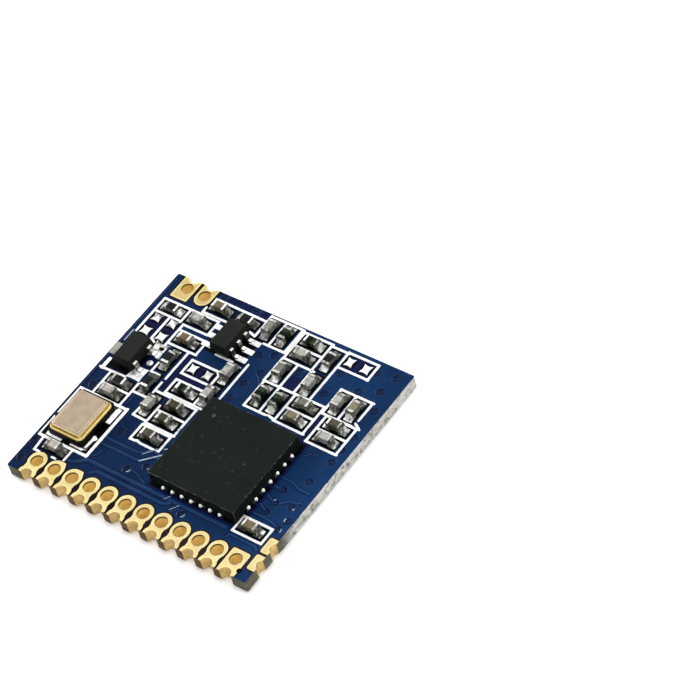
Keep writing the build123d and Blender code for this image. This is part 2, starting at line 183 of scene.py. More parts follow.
def mask_mat(name, dark, light, edge=True, rough=(0.3, 0.45), spec=0.035):
    m, nt, b, vec = new_mat(name)
    big = noise(nt, vec, 170.0, 3.0)
    mid = noise(nt, vec, 1500.0, 4.0)
    fine = noise(nt, vec, 9000.0, 2.0)
    col = ramp(nt, big, [(0.35, dark), (0.65, light)])
    col = mix(nt, 0.35, col, ramp(nt, mid, [(0.3, (0.72, 0.74, 0.78)), (0.7, (1.2, 1.18, 1.14))]), "MULTIPLY")
    # the mask is darker towards the front left
    place = nt.nodes.new("ShaderNodeSeparateXYZ")
    nt.links.new(vec, place.inputs["Vector"])
    add = nt.nodes.new("ShaderNodeMath"); add.operation = "MULTIPLY_ADD"
    nt.links.new(place.outputs["Y"], add.inputs[0]); add.inputs[1].default_value = 0.5
    nt.links.new(place.outputs["X"], add.inputs[2])
    slow = spread(nt, add.outputs[0], 0.0, 1.0, -0.010, 0.009)
    col = mix(nt, 1.0, col, ramp(nt, slow, [(0.0, (0.36, 0.46, 0.58)), (0.5, (0.58, 0.74, 0.86)), (1.0, (0.86, 0.98, 1.04))]), "MULTIPLY")
    rg = spread(nt, mid, rough[0], rough[1])
    if edge:
        # the cut sides show the glass-epoxy laminate in fine layers:
        # brown and closed at the front and back, grey and broken at the left and right
        geo = nt.nodes.new("ShaderNodeNewGeometry")
        sep = nt.nodes.new("ShaderNodeSeparateXYZ")
        nt.links.new(geo.outputs["True Normal"], sep.inputs["Vector"])

        def side_of(axis, kind, limit):
            ab = nt.nodes.new("ShaderNodeMath"); ab.operation = "ABSOLUTE"
            nt.links.new(sep.outputs[axis], ab.inputs[0])
            t = nt.nodes.new("ShaderNodeMath"); t.operation = kind
            nt.links.new(ab.outputs[0], t.inputs[0]); t.inputs[1].default_value = limit
            return t.outputs[0]

        cut_side = side_of("Z", "LESS_THAN", 0.5)

        # below, the vias and a few traces show through the mask, and there is no copper between the lands
        def math2(kind, x, y):
            t = nt.nodes.new("ShaderNodeMath"); t.operation = kind
            for k, v in enumerate((x, y)):
                if isinstance(v, float):
                    t.inputs[k].default_value = v
                else:
                    nt.links.new(v, t.inputs[k])
            return t.outputs[0]

        def run_distance(x0, y0, x1, y1):
            """How far a point lies from a straight run along x or y."""
            out = []
            for axis, a, c, half in (("X", x0, x1, W / 2), ("Y", y0, y1, H / 2)):
                q = math2("SUBTRACT", place.outputs[axis], ((a + c) / 2 - half) * MM)
                q = math2("SUBTRACT", math2("ABSOLUTE", q, 0.0), abs(c - a) / 2 * MM)
                q = math2("MAXIMUM", q, 0.0)
                out.append(math2("MULTIPLY", q, q))
            return math2("SQRT", math2("ADD", out[0], out[1]), 0.0)

        far = None
        for run in UNDER_RUNS:
            d = run_distance(*run)
            far = d if far is None else math2("MINIMUM", far, d)
        below = math2("LESS_THAN", place.outputs["Z"], 0.0001)
        runs = ramp(nt, spread(nt, far, 0.0, 1.0, 0.0, 0.0004), [(0.20, (1.7, 1.6, 1.45)), (0.26, (0.42, 0.46, 0.52)), (0.46, (0.46, 0.50, 0.56)), (0.52, (1.0, 1.0, 1.0))])
        col = mix(nt, below, col, mix(nt, 1.0, col, runs, "MULTIPLY"))
        far = None
        for x, y in VIAS:
            d = run_distance(x, y, x, y)
            far = d if far is None else math2("MINIMUM", far, d)
        dots = ramp(nt, spread(nt, far, 0.0, 1.0, 0.0, 0.0004), [(0.24, (0.62, 0.62, 0.66)), (0.32, (0.22, 0.24, 0.30)), (0.44, (0.24, 0.26, 0.32)), (0.52, (1.55, 1.45, 1.35)), (0.66, (1.4, 1.3, 1.25)), (0.76, (1.0, 1.0, 1.0))])
        col = mix(nt, below, col, mix(nt, 1.0, col, dots, "MULTIPLY"))
        gap = math2("LESS_THAN", place.outputs["Y"], (1.78 - H / 2) * MM)
        col = mix(nt, math2("MULTIPLY", below, gap), col, mix(nt, 1.0, col, (0.55, 0.42, 0.46), "MULTIPLY"))
        x_side = side_of("X", "GREATER_THAN", 0.5)
        layers = noise(nt, vec, 1.0, 4.0, 0.65, (700.0, 700.0, 9000.0))
        fibre = noise(nt, vec, 5200.0, 3.0, 0.7)
        brown = ramp(nt, layers, [(0.28, (0.056, 0.035, 0.020)), (0.5, (0.120, 0.078, 0.043)), (0.74, (0.21, 0.145, 0.082))])
        grey = ramp(nt, layers, [(0.28, (0.33, 0.322, 0.30)), (0.5, (0.52, 0.51, 0.48)), (0.74, (0.70, 0.685, 0.655))])
        chips = noise(nt, vec, 3300.0, 4.0, 0.7)
        grey = mix(nt, 0.8, grey, ramp(nt, chips, [(0.36, (0.16, 0.15, 0.14)), (0.47, (1.0, 1.0, 1.0)), (0.7, (1.25, 1.25, 1.25))]), "MULTIPLY")
        olive = ramp(nt, layers, [(0.28, (0.062, 0.060, 0.042)), (0.5, (0.120, 0.116, 0.086)), (0.74, (0.20, 0.195, 0.155))])
        ax = nt.nodes.new("ShaderNodeMath"); ax.operation = "ABSOLUTE"
        nt.links.new(place.outputs["X"], ax.inputs[0])
        brown = mix(nt, spread(nt, ax.outputs[0], 0.0, 1.0, 0.0073, 0.0076), brown, olive)
        grey = mix(nt, spread(nt, place.outputs["Y"], 1.0, 0.0, -0.0046, -0.0036), grey, olive)
        grey = mix(nt, spread(nt, place.outputs["X"], 0.62, 0.0, -0.0080, -0.0070), grey, olive)
        fr = mix(nt, x_side, brown, grey)
        fr = mix(nt, 0.5, fr, ramp(nt, fibre, [(0.3, (0.62, 0.6, 0.56)), (0.72, (1.25, 1.25, 1.25))]), "MULTIPLY")
        col = mix(nt, cut_side, col, fr)
        rgm = nt.nodes.new("ShaderNodeMix"); rgm.data_type = "FLOAT"
        nt.links.new(cut_side, rgm.inputs[0]); nt.links.new(rg, rgm.inputs[2]); rgm.inputs[3].default_value = 0.75
        rg = rgm.outputs[0]
        hm = nt.nodes.new("ShaderNodeMix"); hm.data_type = "FLOAT"
        nt.links.new(cut_side, hm.inputs[0]); nt.links.new(fine, hm.inputs[2]); nt.links.new(layers, hm.inputs[3])
        bump(nt, b, hm.outputs[0], 0.010, 0.5)
    else:
        bump(nt, b, fine, 0.004, 0.5)
    nt.links.new(col, b.inputs["Base Color"])
    nt.links.new(rg, b.inputs["Roughness"])
    b.inputs["Specular IOR Level"].default_value = spec
    return m


VIAS = [(8.8, 13.2), (7.95, 12.8), (8.85, 11.8), (8.45, 10.8), (8.35, 9.6), (10.8, 12.85), (12.9, 13.85), (12.95, 12.25),
        (15.9, 15.0), (15.65, 13.8), (14.55, 13.25), (16.15, 12.55), (16.2, 10.55), (16.1, 8.6), (15.8, 7.0), (14.85, 5.85),
        (15.0, 4.95), (16.0, 5.15), (14.9, 4.25), (16.2, 3.6), (16.35, 4.3), (4.35, 4.85), (7.2, 3.6), (6.3, 2.95),
        (10.9, 1.95), (0.4, 0.8), (0.75, 6.75), (0.3, 2.1), (3.65, 15.3), (5.95, 15.3), (14.72, 14.8), (16.1, 9.5)]
# straight runs of the traces below: x0, y0, x1, y1
UNDER_RUNS = [(2.66, 1.6, 2.66, 4.85), (2.66, 4.85, 4.35, 4.85), (6.47, 1.6, 6.47, 2.95), (7.74, 1.6, 7.74, 3.6), (7.2, 3.6, 7.74, 3.6),
              (11.55, 1.6, 11.55, 1.95), (10.9, 1.95, 11.55, 1.95), (14.09, 1.6, 14.09, 4.25), (14.09, 4.25, 14.9, 4.25),
              (8.8, 11.8, 8.8, 13.2), (10.8, 12.85, 12.9, 12.85), (1.22, 12.2, 1.22, 14.2), (1.22, 12.2, 7.95, 12.2), (7.95, 12.2, 7.95, 12.8)]

M = {}
M["mask"] = mask_mat("mask_blue", (0.0024, 0.0170, 0.058), (0.0050, 0.0270, 0.085))
M["mask_trace"] = mask_mat("mask_blue_over_trace", (0.0056, 0.0300, 0.091), (0.0108, 0.0460, 0.130), edge=False, rough=(0.22, 0.34), spec=0.10)
M["mask_gap"] = mask_mat("mask_blue_over_gap", (0.0014, 0.0100, 0.040), (0.0028, 0.0160, 0.058), edge=False)
M["via_ring"] = mask_mat("mask_blue_over_via_rim", (0.0026, 0.0182, 0.063), (0.0058, 0.0295, 0.092), edge=False, rough=(0.24, 0.34), spec=0.06)
M["mask_navy"] = mask_mat("mask_navy_over_bare_laminate", (0.0036, 0.0064, 0.033), (0.0062, 0.0105, 0.050), edge=False)
# near-black mask: painted shade round the parts and lands
M["mask_black"] = mask_mat("mask_black_round_parts", (0.0008, 0.0009, 0.0016), (0.0018, 0.0021, 0.0036), edge=False, rough=(0.45, 0.6), spec=0.02)
# dark laminate round the pads: partly painted shade
M["clear"] = mask_mat("laminate_dark_round_pads", (0.0160, 0.0058, 0.0060), (0.0340, 0.0135, 0.0130), edge=False, rough=(0.5, 0.7), spec=0.02)
M["gap_brown"] = mask_mat("laminate_brown_between_pads", (0.022, 0.0050, 0.0030), (0.050, 0.0130, 0.0080), edge=False, rough=(0.5, 0.7), spec=0.02)
M["via"] = simple("via_rim_navy", (0.0006, 0.0016, 0.0095), (0.0013, 0.0036, 0.0175), 0.0, 0.3, 0.45, spec=0.06)
M["silk"] = simple("silkscreen_white_ink", (0.70, 0.71, 0.70), (0.86, 0.87, 0.86), 0.0, 0.5, 0.7, scale=2500.0, fine=9000.0, bmm=0.006, spec=0.2)
M["silk_thin"] = simple("silkscreen_thin_ink", (0.15, 0.20, 0.26), (0.34, 0.41, 0.49), 0.0, 0.5, 0.7, scale=2500.0, fine=9000.0, bmm=0.006, spec=0.2)
M["gold"] = simple("gold_plate_satin", (0.50, 0.415, 0.185), (0.60, 0.505, 0.238), 0.45, 0.34, 0.44, scale=1300.0, fine=2400.0, bmm=0.0003, spec=0.3)
M["gold_deep"] = simple("gold_plate_deep", (0.41, 0.315, 0.118), (0.52, 0.415, 0.170), 0.45, 0.34, 0.44, scale=1300.0, fine=2400.0, bmm=0.0003, spec=0.3)
# the pads' rims are a lighter gold: painted highlight
M["gold_rim"] = simple("gold_plate_rim", (0.58, 0.485, 0.225), (0.68, 0.58, 0.28), 0.4, 0.32, 0.42, scale=1300.0, fine=2400.0, bmm=0.0003, spec=0.3)
M["gold_bore"] = sunken("gold_plate_in_holes", (0.135, 0.075, 0.022), (0.87, 0.620, 0.190), (0.99, 0.790, 0.290), 0.15, 0.2, 0.36, 0.5)
M["gold_notch"] = simple("gold_plate_in_notches", (0.46, 0.315, 0.112), (0.76, 0.545, 0.215), 0.3, 0.36, 0.5, scale=2200.0, fine=5200.0, bmm=0.005, spec=0.3)
# lit and shaded copies of one solder, lighter and darker: painted light and shade
M["solder"] = patchy("solder_bright", [(0.30, (0.20, 0.20, 0.185)), (0.40, (0.56, 0.56, 0.54)), (0.50, (0.86, 0.86, 0.85))], 0.3, 0.24, 0.36)
M["solder_mid"] = patchy("solder_grey", [(0.38, (0.040, 0.040, 0.034)), (0.47, (0.130, 0.130, 0.115)), (0.55, (0.26, 0.26, 0.24)), (0.63, (0.80, 0.80, 0.78))], 0.3, 0.28, 0.42, scale=3000.0)
M["solder_half"] = patchy("solder_satin", [(0.36, (0.10, 0.10, 0.09)), (0.45, (0.30, 0.30, 0.28)), (0.53, (0.50, 0.50, 0.48)), (0.61, (0.86, 0.86, 0.84))], 0.3, 0.26, 0.40, scale=3000.0)
M["solder_dark"] = patchy("solder_dull", [(0.40, (0.024, 0.024, 0.020)), (0.52, (0.080, 0.079, 0.068)), (0.66, (0.30, 0.30, 0.28))], 0.3, 0.32, 0.46, scale=3000.0)
M["terminal"] = patchy("terminals_in_shade", [(0.40, (0.008, 0.008, 0.007)), (0.52, (0.026, 0.026, 0.023)), (0.66, (0.12, 0.12, 0.11))], 0.3, 0.32, 0.46, scale=3000.0)
M["tinned"] = patchy("tinned_copper", [(0.28, (0.34, 0.34, 0.32)), (0.38, (0.66, 0.66, 0.64)), (0.48, (0.88, 0.88, 0.87))], 0.25, 0.26, 0.36)
# streaked and darker copies of the tin: partly painted shade
M["tinned_mid"] = patchy("tinned_copper_streaked", [(0.34, (0.10, 0.10, 0.09)), (0.45, (0.40, 0.40, 0.37)), (0.53, (0.72, 0.72, 0.70)), (0.62, (0.90, 0.90, 0.89))], 0.25, 0.26, 0.36, scale=2200.0)
M["tinned_dim"] = patchy("tinned_copper_dull", [(0.34, (0.13, 0.128, 0.105)), (0.5, (0.20, 0.196, 0.165)), (0.66, (0.30, 0.295, 0.255))], 0.2, 0.34, 0.46, scale=1800.0)
M["bead"] = patchy("solder_beads", [(0.26, (0.74, 0.74, 0.73)), (0.38, (0.95, 0.95, 0.94))], 0.0, 0.32, 0.42, spec=0.5)
M["lead"] = patchy("tin_plated_lead", [(0.34, (0.09, 0.09, 0.08)), (0.46, (0.34, 0.34, 0.32)), (0.60, (0.74, 0.74, 0.72))], 0.4, 0.26, 0.38, scale=2600.0)
# lit and shaded copies of the end-cap tin: painted light and shade
M["end"] = patchy("tin_end_caps", [(0.36, (0.075, 0.073, 0.062)), (0.46, (0.26, 0.255, 0.23)), (0.58, (0.50, 0.49, 0.455))], 0.2, 0.32, 0.46, scale=4200.0)
M["end_light"] = patchy("tin_end_caps_bright", [(0.32, (0.28, 0.276, 0.255)), (0.42, (0.55, 0.545, 0.515)), (0.54, (0.84, 0.835, 0.81))], 0.2, 0.32, 0.46, scale=4200.0)
M["end_line"] = patchy("tin_end_caps_seam", [(0.40, (0.012, 0.012, 0.010)), (0.52, (0.030, 0.030, 0.026)), (0.64, (0.12, 0.12, 0.11))], 0.2, 0.36, 0.5, scale=3400.0)
M["end_side"] = patchy("tin_end_caps_shaded", [(0.36, (0.018, 0.018, 0.015)), (0.48, (0.070, 0.069, 0.057)), (0.62, (0.34, 0.335, 0.305))], 0.2, 0.32, 0.46, scale=4200.0)
def speckled(mat, tone, scale, lo, hi):
    """Sparse pale specks over the colour of a material."""
    nt = mat.node_tree
    b = nt.nodes["Principled BSDF"]
    vec = next(n for n in nt.nodes if n.type == "TEX_COORD").outputs["Object"]
    col = b.inputs["Base Color"].links[0].from_socket
    sp = ramp(nt, noise(nt, vec, scale, 2.0, 0.6), [(lo, (0.0, 0.0, 0.0)), (hi, (1.0, 1.0, 1.0))])
    nt.links.new(mix(nt, sp, col, tone), b.inputs["Base Color"])


M["chip"] = simple("moulding_compound_chip", (0.0052, 0.0078, 0.0064), (0.0074, 0.0104, 0.0088), 0.0, 0.5, 0.65, scale=420.0, fine=16000.0, bmm=0.004, spec=0.03)
speckled(M["chip"], (0.034, 0.036, 0.034), 4200.0, 0.665, 0.73)
# lighter bevels along the chip's edges: painted highlight
M["chip_edge"] = patchy("moulding_compound_edge", [(0.40, (0.0060, 0.0080, 0.0072)), (0.49, (0.0220, 0.0240, 0.0225)), (0.58, (0.125, 0.130, 0.124))], 0.0, 0.4, 0.55, scale=2300.0, bmm=0.002, spec=0.08)
M["sot"] = simple("moulding_compound_small", (0.0102, 0.0110, 0.0094), (0.0148, 0.0154, 0.0134), 0.0, 0.45, 0.6, scale=900.0, fine=12000.0, bmm=0.005, spec=0.04)
M["mark"] = simple("pin_one_dimple", (0.024, 0.027, 0.025), (0.036, 0.039, 0.036), 0.0, 0.35, 0.5, scale=3000.0, fine=12000.0, bmm=0.003, spec=0.2)
M["ceramic"] = simple("crystal_ceramic_dark", (0.0024, 0.0018, 0.0016), (0.0058, 0.0044, 0.0040), 0.0, 0.4, 0.55, scale=1500.0, fine=9000.0, bmm=0.004, spec=0.04)
M["lid"] = simple("crystal_lid_champagne", (0.252, 0.198, 0.136), (0.335, 0.264, 0.188), 0.6, 0.36, 0.46, scale=1900.0, fine=3600.0, bmm=0.0009, spec=0.3)
M["lid_flange"] = simple("crystal_lid_flange", (0.225, 0.172, 0.105), (0.290, 0.226, 0.146), 0.6, 0.36, 0.46, scale=1500.0, fine=3600.0, bmm=0.0006, spec=0.3)
# the lid's steps are lighter: painted highlight
M["lid_edge"] = simple("crystal_lid_step", (0.46, 0.375, 0.27), (0.58, 0.480, 0.36), 0.4, 0.34, 0.44, scale=1500.0, fine=3600.0, bmm=0.0006, spec=0.3)
M["lid_wall"] = simple("crystal_lid_side", (0.84, 0.56, 0.185), (0.96, 0.69, 0.27), 0.3, 0.30, 0.40, scale=1500.0, fine=3600.0, bmm=0.0006, spec=0.4)
M["ring"] = simple("gold_seal_ring", (0.96, 0.72, 0.225), (1.0, 0.82, 0.30), 0.2, 0.28, 0.38, scale=1500.0, fine=3600.0, bmm=0.0006, spec=0.4)
# the groove in the seal ring is a dark copy of the gold: painted shade
M["ring_deep"] = simple("gold_seal_ring_groove", (0.16, 0.085, 0.018), (0.26, 0.15, 0.035), 0.4, 0.3, 0.4, scale=1500.0, fine=3600.0, bmm=0.0006, spec=0.3)
M["quartz"] = simple("quartz_blank", (0.75, 0.78, 0.8), (0.85, 0.88, 0.9), 0.0, 0.15, 0.3)


def ceramic(key, name, c1, c2, rough=(0.38, 0.52), spec=0.06):
    lo = tuple(v * 0.86 for v in c1); hi = tuple(v * 1.20 for v in c2)
    M[key] = simple(name, lo, hi, 0.0, rough[0], rough[1], scale=3600.0, fine=7000.0, bmm=0.006, spec=spec)


ceramic("c_grey", "ceramic_grey", (0.245, 0.242, 0.224), (0.325, 0.321, 0.298))
ceramic("c_warm", "ceramic_warm_grey", (0.270, 0.250, 0.224), (0.355, 0.332, 0.303))
ceramic("c_mid", "ceramic_mid_grey", (0.135, 0.133, 0.122), (0.190, 0.187, 0.173))
ceramic("c_dim", "ceramic_dim_grey", (0.098, 0.097, 0.088), (0.148, 0.146, 0.134))
ceramic("c_sand", "ceramic_sand", (0.140, 0.136, 0.086), (0.188, 0.183, 0.118))
ceramic("c_khaki", "ceramic_khaki", (0.112, 0.102, 0.064), (0.155, 0.142, 0.090))
ceramic("c_tan", "ceramic_tan", (0.088, 0.069, 0.038), (0.136, 0.108, 0.062))
ceramic("c_brown", "ceramic_brown", (0.098, 0.062, 0.035), (0.145, 0.097, 0.058))
ceramic("c_umber", "ceramic_umber", (0.043, 0.038, 0.026), (0.066, 0.059, 0.041))
ceramic("c_olive", "ceramic_olive", (0.0240, 0.0225, 0.0120), (0.0410, 0.0375, 0.0205))
ceramic("r_black", "resistor_overcoat", (0.0066, 0.0066, 0.0070), (0.0110, 0.0110, 0.0115), (0.3, 0.45), 0.04)
ceramic("r_body", "resistor_alumina", (0.062, 0.062, 0.062), (0.118, 0.118, 0.115))
ceramic("l_green", "inductor_green", (0.0040, 0.0090, 0.0038), (0.0260, 0.0520, 0.0215), (0.25, 0.4), 0.05)
ceramic("l_dark", "inductor_dark_band", (0.0020, 0.0030, 0.0015), (0.0042, 0.0056, 0.0030), (0.25, 0.4), 0.05)


# ------------------------------------------------------------------ mesh tools
class Build:
    """Collects vertices (mm, from the left front corner) and faces with a material index."""

    def __init__(self):
        self.v, self.f, self.m = [], [], []

    def add(self, verts, faces, mi=0):
        o = len(self.v)
        self.v += verts
        for f in faces:
            self.f.append(tuple(i + o for i in f))
            self.m.append(mi)

    def obj(self, name, mats, slot=None, smooth=40.0):
        me = bpy.data.meshes.new(name)
        # nothing drawn on the board reaches past its edges
        me.from_pydata([P(min(max(x, 0.0), W), min(max(y, 0.0), H), z) for x, y, z in self.v], [], self.f)
        for m in mats:
            me.materials.append(m)
        me.polygons.foreach_set("material_index", self.m)
        me.update()
        bm = bmesh.new(); bm.from_mesh(me)
        bmesh.ops.recalc_face_normals(bm, faces=bm.faces)
        bm.to_mesh(me); bm.free()
        me.shade_smooth()
        me.set_sharp_from_angle(angle=math.radians(smooth))
        o = bpy.data.objects.new(name, me)
        bpy.context.scene.collection.objects.link(o)
        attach(o, "root")
        return o


def arc(cx, cy, r, a0, a1, n):
    return [(cx + r * math.cos(math.radians(a0 + (a1 - a0) * k / n)),
             cy + r * math.sin(math.radians(a0 + (a1 - a0) * k / n))) for k in range(n + 1)]


def circle(cx, cy, r, n=32):
    return [(cx + r * math.cos(2 * math.pi * k / n), cy + r * math.sin(2 * math.pi * k / n)) for k in range(n)]


def rrect(cx, cy, sx, sy, r, n=5):
    a, b = sx / 2 - r, sy / 2 - r
    pts = []
    for ox, oy, a0 in ((a, b, 0), (-a, b, 90), (-a, -b, 180), (a, -b, 270)):
        pts += arc(cx + ox, cy + oy, r, a0, a0 + 90, n)
    return clean(pts)


def clean(loop, eps=1e-4):
    out = []
    for p in loop:
        if not out or math.dist(p, out[-1]) > eps:
            out.append(p)
    if math.dist(out[0], out[-1]) <= eps:
        out.pop()
    return out


def area(loop):
    return sum(a[0] * b[1] - b[0] * a[1] for a, b in zip(loop, loop[1:] + loop[:1])) / 2


def inset(loop, d):
    """Moves a loop towards its inside by d (negative goes outwards)."""
    s = 1 if area(loop) > 0 else -1
    n = len(loop)
    out = []
    for i in range(n):
        p0, p1, p2 = loop[i - 1], loop[i], loop[(i + 1) % n]
        e1 = (p1[0] - p0[0], p1[1] - p0[1]); e2 = (p2[0] - p1[0], p2[1] - p1[1])
        l1, l2 = math.hypot(*e1) or 1, math.hypot(*e2) or 1
        n1 = (-e1[1] / l1 * s, e1[0] / l1 * s); n2 = (-e2[1] / l2 * s, e2[0] / l2 * s)
        b = (n1[0] + n2[0], n1[1] + n2[1])
        lb = math.hypot(*b) or 1
        b = (b[0] / lb, b[1] / lb)
        c = max(0.5, b[0] * n1[0] + b[1] * n1[1])
        out.append((p1[0] + b[0] * d / c, p1[1] + b[1] * d / c))
    return out


def inside(pt, loop):
    x, y = pt
    c = False
    n = len(loop)
    for i in range(n):
        x1, y1 = loop[i]; x2, y2 = loop[(i + 1) % n]
        if (y1 > y) != (y2 > y) and x < (x2 - x1) * (y - y1) / (y2 - y1) + x1:
            c = not c
    return c


def fill(outer, holes=()):
    """Triangles between an outer loop and its holes. Returns (points, triangles)."""
    pts, edges = [], []
    for loop in [outer, *holes]:
        o = len(pts)
        pts += loop
        edges += [(o + i, o + (i + 1) % len(loop)) for i in range(len(loop))]
    v, _, f, *_ = delaunay_2d_cdt([Vector(p) for p in pts], edges, [], 0, 1e-7)
    tris = []
    for t in f:
        cx = sum(v[i].x for i in t) / len(t); cy = sum(v[i].y for i in t) / len(t)
        if inside((cx, cy), outer) and not any(inside((cx, cy), h) for h in holes):
            tris.append(tuple(t))
    return [(p.x, p.y) for p in v], tris


def strip(b, lo, hi, mi):
    """Faces between two loops of equal length, each a list of (x, y, z)."""
    n = len(lo)
    b.add(lo + hi, [(i, (i + 1) % n, n + (i + 1) % n, n + i) for i in range(n)], mi)


def plate(b, outer, holes=(), z0=T, z1=ZL, rim=((0.0, 0.0), (0.004, 0.6), (0.018, 1.0), (0.085, 1.12)), mi=0, rim_mi=1, hole_mi=None, bottom=True):
    """A flat closed plate with a rounded, slightly raised rim. rim is (inset, share of the height)."""
    h = z1 - z0
    hole_mi = rim_mi if hole_mi is None else hole_mi
    loops = [[(*p, z0 + s * h) for p in (inset(outer, d) if d else outer)] for d, s in rim]
    for lo, hi in zip(loops, loops[1:]):
        strip(b, lo, hi, rim_mi)
    tops = []
    for hl in holes:
        hloops = [[(*p, z0 + s * h) for p in (inset(hl, -d) if d else hl)] for d, s in rim[:-1]]
        hloops.append([(*p, z0 + rim[-1][1] * h) for p in inset(hl, -rim[-1][0] * 0.45)])
        for lo, hi in zip(hloops, hloops[1:]):
            strip(b, lo, hi, hole_mi)
        tops.append([(p[0], p[1]) for p in hloops[-1]])
    top = [(p[0], p[1]) for p in loops[-1]]
    pts, tris = fill(top, tops)
    b.add([(x, y, z0 + rim[-1][1] * h) for x, y in pts], tris, mi)
    if bottom:
        pts, tris = fill(outer, holes)
        b.add([(x, y, z0) for x, y in pts], [t[::-1] for t in tris], mi)


def tube(b, cx, cy, r0, r1, z0, z1, a0=0.0, a1=360.0, n=36, mi=0):
    """A closed ring wall, or a sector of one."""
    full = abs(a1 - a0) >= 359.9
    k = n if full else n + 1
    ang = [math.radians(a0 + (a1 - a0) * i / n) for i in range(k)]
    v = []
    for r, z in ((r0, z0), (r0, z1), (r1, z1), (r1, z0)):
        v += [(cx + r * math.cos(a), cy + r * math.sin(a), z) for a in ang]
    f = []
    for i in range(n):
        j = (i + 1) % k
        for s in range(4):
            t = (s + 1) % 4
            f.append((s * k + i, s * k + j, t * k + j, t * k + i))
    if not full:
        f.append((0, k, 2 * k, 3 * k))
        f.append((3 * k + n, 2 * k + n, k + n, n))
    b.add(v, f, mi)


def rbox(b, lo, hi, r, seg=3, mi=0, jitter=0.0):
    """A box with rounded edges."""
    bm = bmesh.new()
    bmesh.ops.create_cube(bm, size=1.0)
    c = [(a + d) / 2 for a, d in zip(lo, hi)]
    s = [d - a for a, d in zip(lo, hi)]
    for v in bm.verts:
        v.co = Vector([c[k] + v.co[k] * s[k] for k in range(3)])
    bmesh.ops.bevel(bm, geom=bm.edges[:], offset=r, segments=seg, profile=0.5, affect="EDGES", clamp_overlap=True)
    vs = [tuple(x + (rng.uniform(-jitter, jitter) if jitter else 0) for x in v.co) for v in bm.verts]
    bm.verts.index_update()
    b.add(vs, [tuple(v.index for v in f.verts) for f in bm.faces], mi)
    bm.free()


def bevelled(node, name, mats, width, seg=2, angle=30.0, hide=True, edge_mi=0, steep_mi=None):
    """A copy of a CAD node's mesh with its sharp edges rounded, standing for the node."""
    src = NODES[node]
    bm = bmesh.new(); bm.from_mesh(src.data)
    bmesh.ops.remove_doubles(bm, verts=bm.verts[:], dist=2e-7)
    bmesh.ops.dissolve_limit(bm, angle_limit=math.radians(1.0), verts=bm.verts[:], edges=bm.edges[:])
    edges = [e for e in bm.edges if len(e.link_faces) == 2 and e.calc_face_angle(0) > math.radians(angle)]
    for f in bm.faces:
        f.material_index = 0
    bmesh.ops.bevel(bm, geom=edges, offset=width * MM, segments=seg, profile=0.5, affect="EDGES", clamp_overlap=True, material=edge_mi)
    bmesh.ops.recalc_face_normals(bm, faces=bm.faces[:])
    bm.verts.index_update()
    vs = [tuple(v.co) for v in bm.verts]; fs = [tuple(v.index for v in f.verts) for f in bm.faces]
    bm.normal_update()
    mis = [steep_mi if steep_mi is not None and abs(f.normal.z) < 0.8 else f.material_index for f in bm.faces]
    bm.free()
    me = bpy.data.meshes.new(name)
    me.from_pydata(vs, [], fs)
    for m in mats:
        me.materials.append(m)
    me.polygons.foreach_set("material_index", mis)
    me.shade_smooth()
    me.set_sharp_from_angle(angle=math.radians(50))
    o = bpy.data.objects.new(name, me)
    bpy.context.scene.collection.objects.link(o)
    wn = o.modifiers.new("weighted", "WEIGHTED_NORMAL"); wn.keep_sharp = True
    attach(o, "root")
    if hide:
        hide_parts(node)
    return o


def bx(node):
    """A node's box in mm from the left front corner."""
    lo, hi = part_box(node)
    return ((lo.x / MM + W / 2, lo.y / MM + H / 2, lo.z / MM), (hi.x / MM + W / 2, hi.y / MM + H / 2, hi.z / MM))


def paint(node, mat):
    o = NODES[node]
    o.data.materials.clear()
    o.data.materials.append(mat)


# ------------------------------------------------------------------ board
paint("circuit_board", M["mask"])
for n in ("radio_chip_thermal_pad", "radio_chip_lands", "radio_chip_terminals"):
    paint(n, M["terminal"])
paint("radio_chip_lands", M["mask_navy"])
paint("quartz_blank", M["quartz"])

b = Build()
for x, y in VIAS:
    n = 28
    prof = [(0.155, -0.045), (0.175, 0.003), (0.205, 0.013), (0.242, 0.017), (0.268, 0.013), (0.292, 0.005), (0.312, -0.002)]
    rings = [[(x + r * math.cos(2 * math.pi * k / n), y + r * math.sin(2 * math.pi * k / n), T + z) for k in range(n)] for r, z in prof]
    for k, (lo, hi) in enumerate(zip(rings, rings[1:])):
        strip(b, lo, hi, 1 if k < 3 else 0)
    # the filled plug
    prof = [(0.156, -0.040), (0.135, -0.034), (0.10, -0.030), (0.075, -0.030)]
    rings = [[(x + r * math.cos(2 * math.pi * k / n), y + r * math.sin(2 * math.pi * k / n), T + z) for k in range(n)] for r, z in prof]
    for lo, hi in zip(rings, rings[1:]):
        strip(b, hi, lo, 1)
    b.add(rings[-1], [tuple(range(n))], 0)
b.obj("tented_vias", [M["via_ring"], M["via"]], "laminate_blue_mask", 60)

# bare laminate under the mask reads darker: flat zones with holes for the vias
ZONES = [(3.12, 15.1, 6.84, 15.6), (0.57, 11.1, 1.55, 12.68), (1.72, 11.1, 2.6, 12.68), (4.36, 8.3, 4.76, 11.05),
         (4.36, 9.34, 6.76, 9.66), (10.5, 11.58, 11.28, 13.18), (0.45, 8.1, 3.0, 10.95),
         (7.86, 2.5, 14.36, 9.1), (4.98, 9.85, 6.72, 10.68), (12.6, 14.25, 14.42, 15.18),
         (0.0, 6.4, 0.28, 11.0), (13.58, 9.0, 13.9, 10.95)]
# near-black zones round the parts and bare lands: painted shade, partly the dark laminate of the mask openings
SHADE_RECTS = [(0.3, 2.65, 3.56, 6.15), (4.7, 11.7, 7.45, 13.75), (8.02, 2.72, 14.2, 8.9), (0.58, 8.2, 2.35, 10.85)]
SHADE_RECTS += [(x - 0.37, y - 0.36, x + 0.37, y + 0.36) for x, y in ((0.97, 12.35), (0.97, 11.30), (2.10, 12.35), (2.10, 11.30), (5.22, 10.27), (6.28, 10.27), (12.92, 14.72), (14.02, 14.72))]
passives = [n for n in NODES if n.startswith(("capacitor_c", "resistor_r", "inductor_l"))]
passives.sort()
PAS = {}
